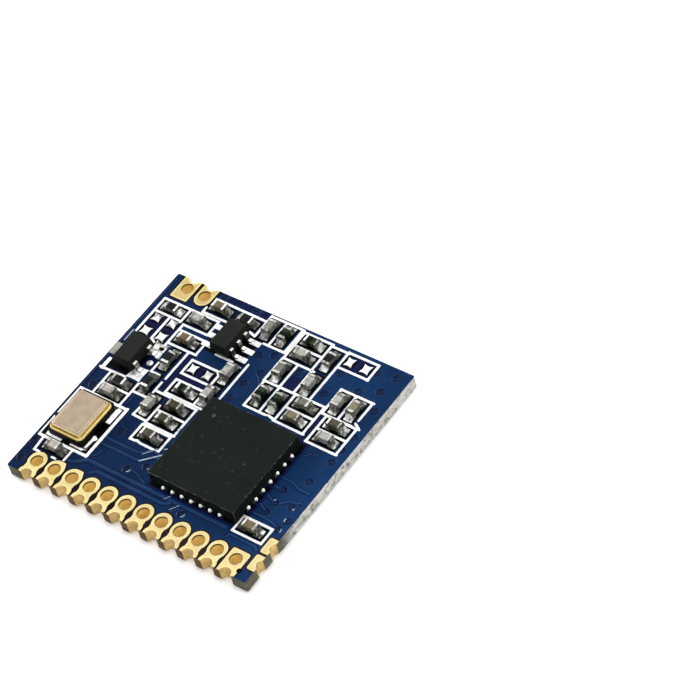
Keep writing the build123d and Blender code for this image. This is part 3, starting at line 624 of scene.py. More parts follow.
for n in passives:
    lo, hi = bx(n)
    cx, cy = (lo[0] + hi[0]) / 2, (lo[1] + hi[1]) / 2
    ang = 0 if hi[0] - lo[0] > hi[1] - lo[1] else 90
    h = hi[2] - lo[2] + 0.06
    PAS[n] = (cx, cy, ang, h)
    dx, dy = (0.9, 0.40) if ang == 0 else (0.40, 0.9)
    SHADE_RECTS.append((cx - dx, cy - dy, cx + dx, cy + dy))


def zones(rects, name, mat, z):
    b = Build()
    for k, (x0, y0, x1, y1) in enumerate(rects):
        near = [(x, y) for x, y in VIAS if x0 - 0.33 < x < x1 + 0.33 and y0 - 0.33 < y < y1 + 0.33]
        xs = sorted({x0, x1, *[min(max(v, x0), x1) for x, _ in near for v in (x - 0.33, x + 0.33)]})
        ys = sorted({y0, y1, *[min(max(v, y0), y1) for _, y in near for v in (y - 0.33, y + 0.33)]})
        zz = z + 0.0004 * (k % 7)
        for xa, xb in zip(xs, xs[1:]):
            for ya, yb in zip(ys, ys[1:]):
                if xb - xa < 0.02 or yb - ya < 0.02:
                    continue
                mx, my = (xa + xb) / 2, (ya + yb) / 2
                if any(abs(mx - x) < 0.33 and abs(my - y) < 0.33 for x, y in near):
                    continue
                b.add([(xa, ya, T), (xb, ya, T), (xb, yb, T), (xa, yb, T), (xa, ya, zz), (xb, ya, zz), (xb, yb, zz), (xa, yb, zz)],
                      [(4, 5, 6, 7), (3, 2, 1, 0), (0, 1, 5, 4), (1, 2, 6, 5), (2, 3, 7, 6), (3, 0, 4, 7)])
    return b.obj(name, [mat], "laminate_blue_mask", 30)


zones(ZONES, "mask_over_bare_laminate", M["mask_navy"], T + 0.003)
zones(SHADE_RECTS, "mask_black_round_parts", M["mask_black"], T + 0.0062)


# ------------------------------------------------------------------ traces raised under the mask
def ribbon(b, pts, w, h, z0, mi=0):
    """A low rounded ridge along a polyline."""
    n = len(pts)
    dirs = []
    for i in range(n):
        a = pts[max(0, i - 1)]; c = pts[min(n - 1, i + 1)]
        d = (c[0] - a[0], c[1] - a[1]); l = math.hypot(*d)
        dirs.append((d[0] / l, d[1] / l))
    sec = [(-0.5, -0.001), (-0.42, 0.62), (-0.28, 1.0), (0.28, 1.0), (0.42, 0.62), (0.5, -0.001)]
    v = []
    for (x, y), (dx, dy) in zip(pts, dirs):
        for s, t in sec:
            v.append((x - dy * s * w, y + dx * s * w, z0 + max(t * h, -0.002)))
    k = len(sec)
    f = []
    for i in range(n - 1):
        for j in range(k - 1):
            a = i * k + j
            f.append((a, a + 1, a + k + 1, a + k))
        f.append((i * k + k - 1, i * k, (i + 1) * k, (i + 1) * k + k - 1))
    f.append(tuple(range(k))[::-1]); f.append(tuple((n - 1) * k + j for j in range(k)))
    b.add(v, f, mi)


def smooth_path(pts, r=0.22, n=4):
    out = [pts[0]]
    for a, p, c in zip(pts, pts[1:], pts[2:]):
        la, lc = math.dist(a, p), math.dist(p, c)
        t = min(r, la / 2.2, lc / 2.2)
        s = (p[0] + (a[0] - p[0]) * t / la, p[1] + (a[1] - p[1]) * t / la)
        e = (p[0] + (c[0] - p[0]) * t / lc, p[1] + (c[1] - p[1]) * t / lc)
        for k in range(n + 1):
            u = k / n
            out.append(((1 - u) ** 2 * s[0] + 2 * u * (1 - u) * p[0] + u * u * e[0],
                        (1 - u) ** 2 * s[1] + 2 * u * (1 - u) * p[1] + u * u * e[1]))
    out.append(pts[-1])
    return out


TRACES = [
    ([(2.9, 1.85), (3.35, 1.95), (3.85, 2.42), (13.7, 2.42)], 0.24),
    ([(4.55, 1.72), (4.85, 2.02), (9.6, 2.02), (9.9, 2.3)], 0.22),
    ([(3.85, 4.14), (6.2, 4.14), (6.7, 4.60), (7.8, 4.60)], 0.18),
    ([(3.85, 3.70), (6.5, 3.70), (7.2, 4.32), (7.8, 4.32)], 0.18),
    ([(3.85, 5.42), (4.35, 5.12), (4.9, 5.12)], 0.08),
    ([(3.95, 2.75), (4.2, 3.0), (4.2, 3.35)], 0.10),
    ([(6.45, 2.95), (6.9, 3.0), (7.5, 2.72), (7.8, 2.62)], 0.12),
    ([(10.2, 1.75), (10.55, 2.15), (10.9, 2.2)], 0.10),
    ([(14.0, 1.9), (14.0, 2.15), (15.8, 2.15), (16.0, 1.95)], 0.12),
    ([(14.3, 6.51), (15.1, 6.51), (15.5, 6.3), (16.4, 6.3)], 0.12),
    ([(14.3, 5.86), (14.7, 5.86)], 0.14),
    ([(14.3, 5.21), (14.55, 5.1), (14.85, 4.98)], 0.12),
    ([(14.3, 4.56), (14.6, 4.4), (14.8, 4.3)], 0.12),
    ([(14.3, 3.91), (15.6, 3.85), (16.0, 3.7)], 0.12),
    ([(15.2, 5.0), (15.6, 5.4), (16.4, 5.6)], 0.10),
    ([(15.1, 8.6), (14.7, 8.5), (14.5, 8.2)], 0.08),
    ([(8.6, 11.7), (9.1, 11.35), (9.25, 11.0)], 0.08),
    ([(0.14, 2.4), (0.14, 15.3)], 0.10),
    ([(0.6, 7.0), (0.9, 7.4)], 0.08),
    ([(3.35, 6.5), (3.35, 7.3)], 0.10),
]
b = Build()
for k, (pts, w) in enumerate(TRACES):
    path = smooth_path(pts)
    ribbon(b, path, w, 0.026, T)
    # the gap in the copper on both sides of the trace
    ribbon(b, path, w + 0.17, 0.0024 + 0.0002 * (k % 5), T, 1)
b.obj("mask_over_traces", [M["mask_trace"], M["mask_gap"]], "laminate_blue_mask", 60)
# painted glints: pale crescents at the lip of a few vias stand for highlights
b = Build()
for x, y, a0, a1 in ((6.3, 2.95, -75, 15), (7.2, 3.6, -60, -10), (10.9, 1.95, -80, 20), (16.2, 3.6, -40, 40), (16.35, 4.3, 150, 230), (16.0, 5.15, -60, 0), (15.0, 4.95, 100, 150)):
    lo = arc(x, y, 0.17, a0, a1, 8); hi = arc(x, y, 0.225, a1 - 12, a0 + 12, 8)
    loop = lo + hi
    k = len(loop)
    b.add([(*q, T + 0.001) for q in loop] + [(*q, T + 0.032) for q in loop],
          [tuple(range(k))[::-1], tuple(range(k, 2 * k))] + [(i, (i + 1) % k, k + (i + 1) % k, k + i) for i in range(k)])
b.obj("via_lips_tinned", [M["silk_thin"]], "tinned_copper", 60)


# ------------------------------------------------------------------ silkscreen
SILK = [
    (0.47, 13.72, 4.42, 13.72), (0.47, 11.05, 0.47, 13.72), (0.5, 12.75, 2.38, 12.74), (1.63, 10.98, 1.63, 12.75),
    (1.63, 10.98, 1.95, 10.82), (2.4, 12.7, 2.4, 13.72), (2.68, 12.62, 4.42, 12.62), (4.42, 12.62, 4.42, 13.72),
    (2.68, 10.95, 2.68, 12.62), (2.72, 12.22, 4.62, 12.2), (2.68, 11.15, 4.74, 11.15), (4.72, 11.15, 4.72, 11.86),
    (3.1, 13.9, 4.8, 13.9), (3.1, 13.9, 3.1, 14.25), (3.25, 15.03, 6.9, 14.98), (6.92, 13.8, 6.92, 15.46),
    (9.25, 13.62, 9.25, 15.40), (6.5, 13.92, 6.92, 13.8), (6.92, 15.435, 9.2, 15.435), (8.02, 13.62, 8.02, 15.43), (7.7, 13.6, 9.25, 13.6),
    (9.15, 13.6, 9.15, 15.43), (9.35, 13.25, 9.35, 15.33), (9.35, 15.33, 11.33, 15.33), (9.4, 14.31, 11.3, 14.29),
    (9.35, 13.28, 11.5, 13.25), (11.3, 13.25, 11.3, 15.33), (11.3, 15.22, 12.5, 15.22), (12.45, 11.5, 12.45, 15.3),
    (12.45, 15.28, 14.5, 15.28), (12.5, 14.15, 14.55, 14.15), (14.52, 14.12, 14.52, 15.28),
    (9.32, 11.48, 9.32, 13.25), (10.4, 11.48, 10.4, 13.25), (9.32, 11.48, 13.6, 11.5), (11.36, 11.5, 11.36, 13.25),
    (9.38, 9.54, 9.38, 11.45), (10.43, 9.56, 10.43, 11.45), (11.54, 9.5, 11.54, 11.5), (9.38, 9.54, 10.92, 9.54),
    (11.05, 9.6, 11.55, 9.48), (13.52, 9.42, 13.52, 11.5), (11.55, 10.51, 13.5, 10.49), (11.5, 9.44, 13.58, 9.41),
    (13.62, 11.1, 13.62, 12.95), (13.6, 12.94, 15.82, 12.94), (14.66, 11.15, 14.66, 12.9), (15.75, 11.6, 15.75, 12.94),
    (13.6, 11.1, 15.6, 11.1), (13.97, 9.12, 13.97, 11.08), (14.0, 11.07, 16.02, 11.06), (16.0, 9.1, 16.0, 11.08),
    (14.0, 10.12, 16.0, 10.1), (13.95, 9.11, 16.05, 9.1), (15.72, 11.35, 16.14, 11.1),
    (14.02, 2.42, 15.95, 2.42), (14.02, 3.47, 15.95, 3.47), (14.02, 2.42, 14.02, 3.47), (15.95, 2.42, 15.95, 3.47),
    (4.78, 9.74, 6.7, 9.74), (4.78, 9.74, 4.78, 10.78), (4.78, 10.78, 6.6, 10.78), (6.6, 10.78, 6.83, 10.55), (6.83, 9.9, 6.83, 10.55),
    (4.82, 8.2, 4.82, 9.25), (4.82, 9.25, 6.68, 9.25), (4.82, 8.21, 7.5, 8.19), (6.83, 8.2, 6.83, 8.85),
    (5.75, 11.72, 6.9, 11.72), (7.9, 9.2, 7.87, 11.95), (4.25, 9.0, 4.25, 11.1), (4.22, 7.9, 4.22, 8.66),
    (3.12, 7.42, 4.15, 7.42), (3.15, 9.05, 3.15, 9.72), (3.15, 9.04, 3.75, 9.04), (0.28, 7.98, 2.05, 8.04),
    (1.08, 6.32, 1.08, 7.95), (1.1, 7.14, 3.02, 7.12), (3.07, 6.32, 3.07, 7.98),
    (4.18, 6.12, 4.24, 6.9), (4.18, 6.12, 5.15, 6.08), (5.17, 6.15, 5.17, 7.3), (4.25, 8.06, 7.24, 8.02), (7.22, 6.62, 7.22, 8.02),
    (5.2, 7.02, 7.12, 6.99), (5.15, 5.98, 7.24, 5.96), (7.22, 5.96, 7.22, 6.3),
    (5.1, 4.7, 5.1, 5.82), (5.1, 5.82, 7.12, 5.82), (7.12, 4.68, 7.12, 5.82), (5.1, 4.7, 5.55, 4.72), (5.55, 4.78, 5.8, 4.7), (5.8, 4.7, 7.12, 4.68),
    (0.62, 2.5, 0.7, 1.58), (2.72, 1.74, 2.72, 2.5), (0.7, 1.57, 1.05, 1.57), (1.98, 1.6, 2.2, 1.6),
]
SILK_WIDE = [
    (0.2, 2.56, 1.68, 2.55, 0.17), (1.9, 2.55, 3.67, 2.56, 0.17), (0.2, 6.24, 3.67, 6.2, 0.17),
    (0.2, 2.56, 0.2, 3.9, 0.15), (0.2, 4.3, 0.2, 6.24, 0.15), (3.67, 2.56, 3.67, 6.22, 0.2), (0.42, 8.0, 0.42, 8.66, 0.24),
]
# faint pale lines, most of them painted highlights along the traces' runs
FAINT_LINES_AND_GLINTS = [(0.3, 10.15, 0.3, 11.0, 0.08), (7.1, 11.64, 7.6, 11.58, 0.1), (6.42, 4.15, 6.98, 4.84, 0.055), (6.56, 3.70, 7.44, 4.58, 0.085), (7.33, 4.98, 7.52, 5.12, 0.07), (9.42, 2.28, 9.63, 2.60, 0.042), (10.13, 1.85, 10.46, 2.34, 0.038)]


def ink(b, x0, y0, x1, y1, w, z):
    """One printed line: a thin slab with slightly uneven edges and rounded ends."""
    l = math.dist((x0, y0), (x1, y1))
    ux, uy = (x1 - x0) / l, (y1 - y0) / l
    n = max(2, int(l / 0.11))
    left, right = [], []
    e = w / 2
    for k in range(n + 1):
        t = k / n * (l + w) - e
        f = 1.0 if 0 < k < n else 0.72
        a = e * f * (1 + rng.uniform(-0.06, 0.06)); c = e * f * (1 + rng.uniform(-0.06, 0.06))
        px, py = x0 + ux * t, y0 + uy * t
        left.append((px - uy * a, py + ux * a)); right.append((px + uy * c, py - ux * c))
    v = [(x, y, T) for x, y in left] + [(x, y, T) for x, y in right] + [(x, y, z) for x, y in left] + [(x, y, z) for x, y in right]
    m = n + 1
    f = []
    for k in range(n):
        f.append((2 * m + k, 2 * m + k + 1, 3 * m + k + 1, 3 * m + k))
        f.append((m + k, m + k + 1, k + 1, k))
        f.append((k, k + 1, 2 * m + k + 1, 2 * m + k))
        f.append((m + k + 1, m + k, 3 * m + k, 3 * m + k + 1))
    f.append((0, m, 3 * m, 2 * m)); f.append((m + n, n, 2 * m + n, 3 * m + n))
    b.add(v, f)


b = Build()
for k, s in enumerate(SILK):
    ink(b, *s, 0.145, T + 0.016 + 0.0005 * (k % 9))
for k, s in enumerate(SILK_WIDE):
    ink(b, *s, T + 0.0165 + 0.0005 * (k % 9))
# a small round dot
for cx, cy, r in ((7.2, 6.46, 0.07), (2.72, 9.47, 0.02)):
    pts = circle(cx, cy, r, 14)
    b.add([(*p, T + 0.018) for p in pts] + [(*p, T) for p in pts],
          [tuple(range(14)), tuple(range(27, 13, -1))] + [(i, 14 + i, 14 + (i + 1) % 14, (i + 1) % 14) for i in range(14)])
b.obj("silkscreen", [M["silk"]], "laminate_blue_mask", 30)
b = Build()
for k, s in enumerate(FAINT_LINES_AND_GLINTS):
    ink(b, *s, T + 0.0285 + 0.0005 * k)
b.obj("silkscreen_faint", [M["silk_thin"]], "laminate_blue_mask", 30)


# ------------------------------------------------------------------ bare laminate in the mask openings, darkened partly with painted shade
def band(b, path, d_out, d_in, z, closed=False, mi=0):
    """A thin dark strip that follows the outside of a land (path runs counter-clockwise round it)."""
    n = len(path)
    outer, inner = [], []
    for i in range(n):
        if closed:
            p0, p2 = path[i - 1], path[(i + 1) % n]
        else:
            p0, p2 = path[max(0, i - 1)], path[min(n - 1, i + 1)]
        p1 = path[i]
        nx = ny = 0.0
        for a, c in ((p0, p1), (p1, p2)):
            l = math.dist(a, c)
            if l > 1e-6:
                nx += (c[1] - a[1]) / l; ny -= (c[0] - a[0]) / l
        l = math.hypot(nx, ny) or 1
        k = min(1.5, 2.0 / l) if l > 0.2 else 1.0
        outer.append((p1[0] + nx / l * d_out * k, p1[1] + ny / l * d_out * k))
        inner.append((p1[0] - nx / l * d_in, p1[1] - ny / l * d_in))
    outer = [(min(max(x, 0.0), W), min(max(y, 0.0), H)) for x, y in outer]
    v = [(*p, T) for p in outer] + [(*p, z) for p in outer] + [(*p, z) for p in inner] + [(*p, T) for p in inner]
    f = []
    for i in range(n if closed else n - 1):
        j = (i + 1) % n
        for s in range(4):
            t = (s + 1) % 4
            f.append((s * n + i, s * n + j, t * n + j, t * n + i))
    if not closed:
        f.append((0, n, 2 * n, 3 * n)); f.append((4 * n - 1, 3 * n - 1, 2 * n - 1, n - 1))
    b.add(v, f, mi)


def slab(b, loop, z, mi=0):
    """A thin flat patch on the board."""
    n = len(loop)
    b.add([(*p, T) for p in loop] + [(*p, z) for p in loop],
          [tuple(range(n))[::-1], tuple(range(n, 2 * n))] + [(i, (i + 1) % n, n + (i + 1) % n, n + i) for i in range(n)], mi)


# ------------------------------------------------------------------ gold pins
def pin_outline(c):
    q = math.degrees(math.acos(0.46 / 0.56))
    p = [(c + NOTCH_R, 0.0), (c + 0.5543, 0.0)]
    p += arc(c, 0.08, 0.56, -8.2, q, 8)
    p += arc(c, 0.97, 0.56, -q, 0.0, 8)
    p += arc(c, 1.07, 0.56, 0.0, 180.0, 26)
    p += arc(c, 0.97, 0.56, 180.0, 180.0 + q, 8)
    p += arc(c, 0.08, 0.56, 180.0 - q, 188.2, 8)
    p += [(c - 0.5543, 0.0), (c - NOTCH_R, 0.0)]
    p += arc(c, 0.0, NOTCH_R, 180.0, 0.0, 22)
    return clean(p)


def pointed(loop, c):
    """The same pad with its back right corner drawn out to a point."""
    keep, done = [], False
    for q in loop:
        if 38 < math.degrees(math.atan2(q[1] - PIN_Y, q[0] - c)) < 86:
            if not done:
                keep.append((c + 0.345, PIN_Y + 0.63)); done = True
        else:
            keep.append(q)
    return keep


def last_outline(c):
    x0, x1 = c + 0.005 - 0.585, c + 0.005 + 0.585
    p = [(c + NOTCH_R, 0.0), (x1 - 0.12, 0.0)]
    p += arc(x1 - 0.12, 0.12, 0.12, -90, 0, 4)
    p += [(x1, 0.31)]
    p += arc(x1 + 0.02, 0.47, 0.15, 262, 98, 10)
    p += [(x1, 0.63)]
    p += arc(x1 - 0.15, 1.45, 0.15, 0, 90, 6)
    p += arc(x0 + 0.12, 1.48, 0.12, 90, 180, 5)
    p += [(x0, 0.0), (c - NOTCH_R, 0.0)]
    p += arc(c, 0.0, NOTCH_R, 180.0, 0.0, 22)
    return clean(p)


b = Build()
for i, c in enumerate(PINS):
    out = last_outline(c) if i == 11 else pointed(pin_outline(c), c) if i in (1, 2) else pin_outline(c)
    plate(b, out, [circle(c, PIN_Y, HOLE_R, 40)], mi=0, rim_mi=1)
    tube(b, c, PIN_Y, HOLE_R, HOLE_R + PLATE, 0.0, ZL, n=40, mi=2)
    tube(b, c, 0.0, NOTCH_R, NOTCH_R + PLATE, 0.0, ZL - 0.002, 1.0, 179.0, n=24, mi=3)
    under = [(c - 0.5, 0.0), (c - NOTCH_R, 0.0)] + arc(c, 0, NOTCH_R, 180, 0, 20) + [(c + 0.5, 0.0)] + rrect(c, 0.78, 1.0, 1.56, 0.1)[:12]
    under = clean([(c + NOTCH_R, 0.0), (c + 0.5, 0.0), (c + 0.5, 1.46)] + arc(c + 0.4, 1.46, 0.1, 0, 90, 4) + arc(c - 0.4, 1.46, 0.1, 90, 180, 4)
                  + [(c - 0.5, 0.0), (c - NOTCH_R, 0.0)] + arc(c, 0, NOTCH_R, 180, 0, 20))
    plate(b, under, [circle(c, PIN_Y, HOLE_R, 40)], z0=CU, z1=0.0, rim=((0.0, 0.0), (0.0, 0.7), (0.012, 1.0), (0.05, 1.0)), mi=0, rim_mi=1)
cb = Build()
for i, c in enumerate(PINS):
    out = last_outline(c) if i == 11 else pointed(pin_outline(c), c) if i in (1, 2) else pin_outline(c)
    top = [q for q in out if math.dist(q, (c, 0.0)) > NOTCH_R + 0.01]
    k = max(range(len(top)), key=lambda j: (top[j][0] - c) - 10 * top[j][1])
    top = top[k:] + top[:k]
    band(cb, top, 0.085, 0.03, T + 0.0094 + 0.0008 * (i % 2))
    if i < 11:
        # dark laminate between the pins near the edge: partly painted shade
        g = c + 0.635
        slab(cb, [(g - 0.10, 0.0), (g + 0.10, 0.0), (g + 0.12, 0.72), (g + 0.05, 0.86), (g - 0.05, 0.86), (g - 0.12, 0.72)], T + 0.0112)
o = b.obj("castellated_pads_plated", [M["gold"], M["gold_rim"], M["gold_bore"], M["gold_notch"]], "gold_plating", 50)
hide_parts("castellated_pads")

b = Build()
c0, c1 = RF_X
e = math.sqrt(RF_NR ** 2 - RF_OUT ** 2)
a_in = math.degrees(math.asin(RF_OUT / RF_NR))


def rf_notch(c):
    """The shallow notch in the back edge, from right to left."""
    return arc(c, H + RF_OUT, RF_NR, -a_in, -180.0 + a_in, 14)


x0, x1 = c0 - 0.65, c0 + 0.53
out = clean([(x0 + 0.05, H - 1.58), (x1 - 0.05, H - 1.58)] + arc(x1 - 0.05, H - 1.53, 0.05, -90, 0, 3) + [(x1, H)] + rf_notch(c0) + [(x0, H)]
            + arc(x0 + 0.05, H - 1.53, 0.05, 180, 270, 3))
plate(b, out, [circle(c0, RF_Y, HOLE_R, 40)], mi=0, rim_mi=1)
band(cb, [(x0, H), (x0, H - 1.53), (x0 + 0.05, H - 1.58), (x1 - 0.05, H - 1.58), (x1, H - 1.53), (x1, H)], 0.085, 0.03, T + 0.0094)
cc = c1 + 0.02
band(cb, [(cc - 0.54, H), (cc - 0.54, RF_Y - 0.18)] + arc(cc, RF_Y - 0.18, 0.54, 180, 360, 26)[1:] + [(cc + 0.54, H)], 0.085, 0.03, T + 0.0102)
gb = Build()
slab(gb, [(1.755, 14.6), (1.965, 14.6), (1.965, H), (1.755, H)], T + 0.0122)
gb.obj("laminate_between_output_pads", [M["gap_brown"]], "laminate_blue_mask", 30)
out = clean([(cc + 0.54, RF_Y - 0.18), (cc + 0.54, H)] + rf_notch(c1) + [(cc - 0.54, H), (cc - 0.54, RF_Y - 0.18)] + arc(cc, RF_Y - 0.18, 0.54, 180, 360, 26))
plate(b, out, [circle(c1, RF_Y, HOLE_R, 40)], mi=0, rim_mi=1)
for c in RF_X:
    tube(b, c, RF_Y, HOLE_R, HOLE_R + PLATE, 0.0, ZL, n=40, mi=2)
    tube(b, c, H + RF_OUT, RF_NR, RF_NR + PLATE, 0.0, ZL - 0.002, -a_in - 2.5, -180 + a_in + 2.5, n=20, mi=3)
    under = clean([(c - 0.5, H - 1.44), (c + 0.5, H - 1.44), (c + 0.5, H)] + rf_notch(c) + [(c - 0.5, H)])
    plate(b, under, [circle(c, RF_Y, HOLE_R, 40)], z0=CU, z1=0.0, rim=((0.0, 0.0), (0.0, 0.7), (0.012, 1.0), (0.05, 1.0)), mi=0, rim_mi=1)
o = b.obj("output_pads_plated", [M["gold_deep"], M["gold_rim"], M["gold_bore"], M["gold_notch"]], "gold_plating", 50)
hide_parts("castellated_output_pads")

b = Build()
s_in = math.degrees(math.asin(SIDE_OUT / SIDE_NR))
for y in SIDE_Y:
    notch = arc(W + SIDE_OUT, y, SIDE_NR, 270 - s_in, 90 + s_in, 14)
    notch = [(min(px, W), py) for px, py in notch]
    x0 = W - 0.52
    out = clean([(x0 + 0.12, y - 0.52), (W, y - 0.52)] + notch + [(W, y + 0.52)] + arc(x0 + 0.12, y + 0.40, 0.12, 90, 180, 5) + arc(x0 + 0.12, y - 0.40, 0.12, 180, 270, 5))
    plate(b, out, [], mi=0, rim_mi=1)
    band(cb, [(W, y + 0.52)] + arc(x0 + 0.12, y + 0.40, 0.12, 90, 180, 5) + arc(x0 + 0.12, y - 0.40, 0.12, 180, 270, 5) + [(W, y - 0.52)], 0.08, 0.03, T + 0.0094 + 0.0008 * (y > 2))
    tube(b, W + SIDE_OUT, y, SIDE_NR, SIDE_NR + PLATE, 0.0, ZL - 0.002, 90 + s_in + 3, 270 - s_in - 3, n=20, mi=3)
    x0 = W - 0.8
    out = clean([(x0, y - 0.48), (W, y - 0.48)] + notch + [(W, y + 0.48), (x0, y + 0.48)])
    plate(b, out, [], z0=CU, z1=0.0, rim=((0.0, 0.0), (0.0, 0.7), (0.012, 1.0), (0.05, 1.0)), mi=0, rim_mi=1)
o = b.obj("side_pads_plated", [M["gold"], M["gold_rim"], M["gold_bore"], M["gold_notch"]], "gold_plating", 50)
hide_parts("side_pads")
db = Build()
slab(db, circle(PINS[11] + 0.62, 0.47, 0.145, 24), T + 0.0125)
db.obj("drill_spot", [M["mask_black"]], "laminate_blue_mask", 30)
cb.obj("laminate_dark_round_pads", [M["clear"]], "laminate_blue_mask", 30)


# ------------------------------------------------------------------ tinned lands and solder
def star(cx, cy, sx, sy, pinch, n=7):
    """A four-cornered outline whose sides are drawn in between sharp corners."""
    c = [(cx + sx / 2, cy - sy / 2), (cx + sx / 2, cy + sy / 2), (cx - sx / 2, cy + sy / 2), (cx - sx / 2, cy - sy / 2)]
    pts = []
    for k in range(4):
        (ax, ay), (bx_, by_) = c[k], c[(k + 1) % 4]
        l = math.dist((ax, ay), (bx_, by_))
        nx, ny = -(by_ - ay) / l, (bx_ - ax) / l
        for i in range(n):
            t = i / n
            d = 4 * t * (1 - t) * pinch
            pts.append((ax + (bx_ - ax) * t + nx * d, ay + (by_ - ay) * t + ny * d))
    return pts


def pillow(b, cx, cy, sx, sy, h, r=0.07, mi=0, lean=(0.0, 0.0), pinch=0.0):
    """A land with a low, flat-topped coat of solder."""
    steps = [(0.0, 0.0), (0.004, 0.42), (0.018, 0.78), (0.045, 0.93), (0.09, 1.0)]
    m = min(sx, sy) / 2 - 0.02 - pinch
    base = star(cx, cy, sx, sy, pinch) if pinch else rrect(cx, cy, sx, sy, r, 5)
    loops = []
    for d, s in steps:
        if d >= m:
            break
        loop = inset(base, d) if d else base
        loops.append([(x, y, T + h * s * (1 + lean[0] * (x - cx) + lean[1] * (y - cy))) for x, y in loop])
    for lo, hi in zip(loops, loops[1:]):
        strip(b, lo, hi, mi)
    pts, tris = fill([(p[0], p[1]) for p in loops[-1]])
    k = len(loops[-1])
    top = loops[-1]
    cz = sum(p[2] for p in top) / k + h * 0.05
    b.add(top + [(cx, cy, cz)], [(i, (i + 1) % k, k) for i in range(k)], mi)
    b.add([(*p, T) for p in base], [tuple(range(len(base)))[::-1]], mi)


BARE = [(0.97, 12.35, 0.55, 0.50), (0.97, 11.30, 0.55, 0.50), (2.10, 12.35, 0.55, 0.50), (2.10, 11.30, 0.55, 0.50),
        (5.22, 10.27, 0.46, 0.52), (6.28, 10.27, 0.46, 0.52), (12.92, 14.72, 0.46, 0.55), (14.02, 14.72, 0.50, 0.55)]
XTAL = [(1.10, 3.25, 1.15, 1.05), (2.82, 3.35, 1.20, 1.10), (2.82, 5.48, 1.20, 1.14), (1.10, 5.48, 1.15, 1.14)]
TRL = [(0.55, 9.45, 1.00, 0.88), (2.55, 10.38, 0.92, 0.98), (2.55, 8.56, 0.92, 0.92)]
SWL = [(x, 12.75 + d * 0.65, 0.62, 0.36) for x in (4.86, 7.24) for d in (-1, 0, 1)]

b = Build()
# some lands take the streaked or the darker tin copy, partly painted shade; the crystal and passive lands take the
# deep-shade solder copy, painted shade
for k, (x, y, sx, sy) in enumerate(BARE):
    pillow(b, x, y, sx + 0.08, sy + 0.10, 0.052, mi=2 if k in (0, 2, 5) else 0, lean=(rng.uniform(-0.5, 0.3), rng.uniform(-0.2, 0.5)), pinch=0.075)
for x, y, sx, sy in XTAL:
    pillow(b, x, y, sx, sy, 0.032, 0.05, mi=3)
pillow(b, *TRL[0], 0.050, 0.06, mi=1)
pillow(b, 2.55, 10.44, 1.02, 1.16, 0.050, mi=2, lean=(-0.05, 0.08), pinch=0.11)
pillow(b, 2.54, 8.56, 0.98, 0.98, 0.050, mi=0, lean=(-0.04, 0.05), pinch=0.045)
for x, y, sx, sy in SWL:
    pillow(b, x + (0.04 if x > 6 else -0.04), y, sx + 0.08, sy, 0.050, 0.05, lean=(rng.uniform(-0.3, 0.3), 0))
for n in passives:
    cx, cy, a, h = PAS[n]
    for s in (-1, 1):
        x, y = (cx + s * 0.52, cy) if a == 0 else (cx, cy + s * 0.52)
        sx, sy = (0.5, 0.54) if a == 0 else (0.54, 0.5)
        pillow(b, x, y, sx, sy, 0.031, 0.05, mi=3)
# a round test land
k = 24
steps = [(0.2, 0.0), (0.19, 0.03), (0.15, 0.06), (0.09, 0.075)]
rings = [[(2.72 + r * math.cos(2 * math.pi * i / k), 9.47 + r * math.sin(2 * math.pi * i / k), T + z) for i in range(k)] for r, z in steps]
for lo, hi in zip(rings, rings[1:]):
    strip(b, lo, hi, 0)
b.add(rings[-1], [tuple(range(k))], 0)
b.add(rings[0], [tuple(range(k))[::-1]], 0)
o = b.obj("component_lands_tinned", [M["tinned"], M["tinned_dim"], M["tinned_mid"], M["solder_dark"]], "tinned_copper", 60)
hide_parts("component_lands")


def fillet_mesh(b, ex, ey, dx, dy, w, L, h, mi=0, seed=0):
    """A concave pool of solder climbing the end of a part. (ex, ey) is the foot of the end face, (dx, dy) points outwards."""
    r = random.Random(seed)
    nu, nt = 12, 9
    p_h, p_l, tilt, wave = r.uniform(0.80, 1.08), r.uniform(0.92, 1.12), r.uniform(-0.2, 0.2), r.uniform(-0.05, 0.05)
    px, py = -dy, dx
    grid = []
    for i in range(nt + 1):
        t = i / nt
        for j in range(nu + 1):
            u = -1 + 2 * j / nu
            reach = L * p_l * (1 - 0.13 * u * u + 0.12 * tilt * u)
            half = w / 2 * (1.0 + 0.08 * t)
            side = {0: 0.25, 1: 0.78, 2: 0.95}.get(min(j, nu - j), 1.0)
            z = h * p_h * (1 - t) ** 2.1 * (1 - 0.22 * abs(u) ** 3.0) * (1 + tilt * u * (1 - t) + wave * math.cos(3 * u))
            z = (z + 0.022 * (1 - t ** 5)) * side
            q = -0.01 + (reach + 0.01) * t
            grid.append((ex + dx * q + px * u * half, ey + dy * q + py * u * half, T + 0.028 + max(z, 0.0)))
    f = []
    m = nu + 1
    for i in range(nt):
        for j in range(nu):
            a = i * m + j
            f.append((a, a + 1, a + m + 1, a + m))
    top = len(grid)
    base = [(x, y, T + 0.012) for x, y, _ in grid]
    edge = [j for j in range(m)] + [i * m + nu for i in range(1, nt + 1)] + [nt * m + j for j in range(nu - 1, -1, -1)] + [i * m for i in range(nt - 1, 0, -1)]
    v = grid + [base[i] for i in edge]
    ne = len(edge)
    for q in range(ne):
        f.append((edge[q], edge[(q + 1) % ne], top + (q + 1) % ne, top + q))
    f.append(tuple(top + q for q in range(ne)))
    b.add(v, f, mi)
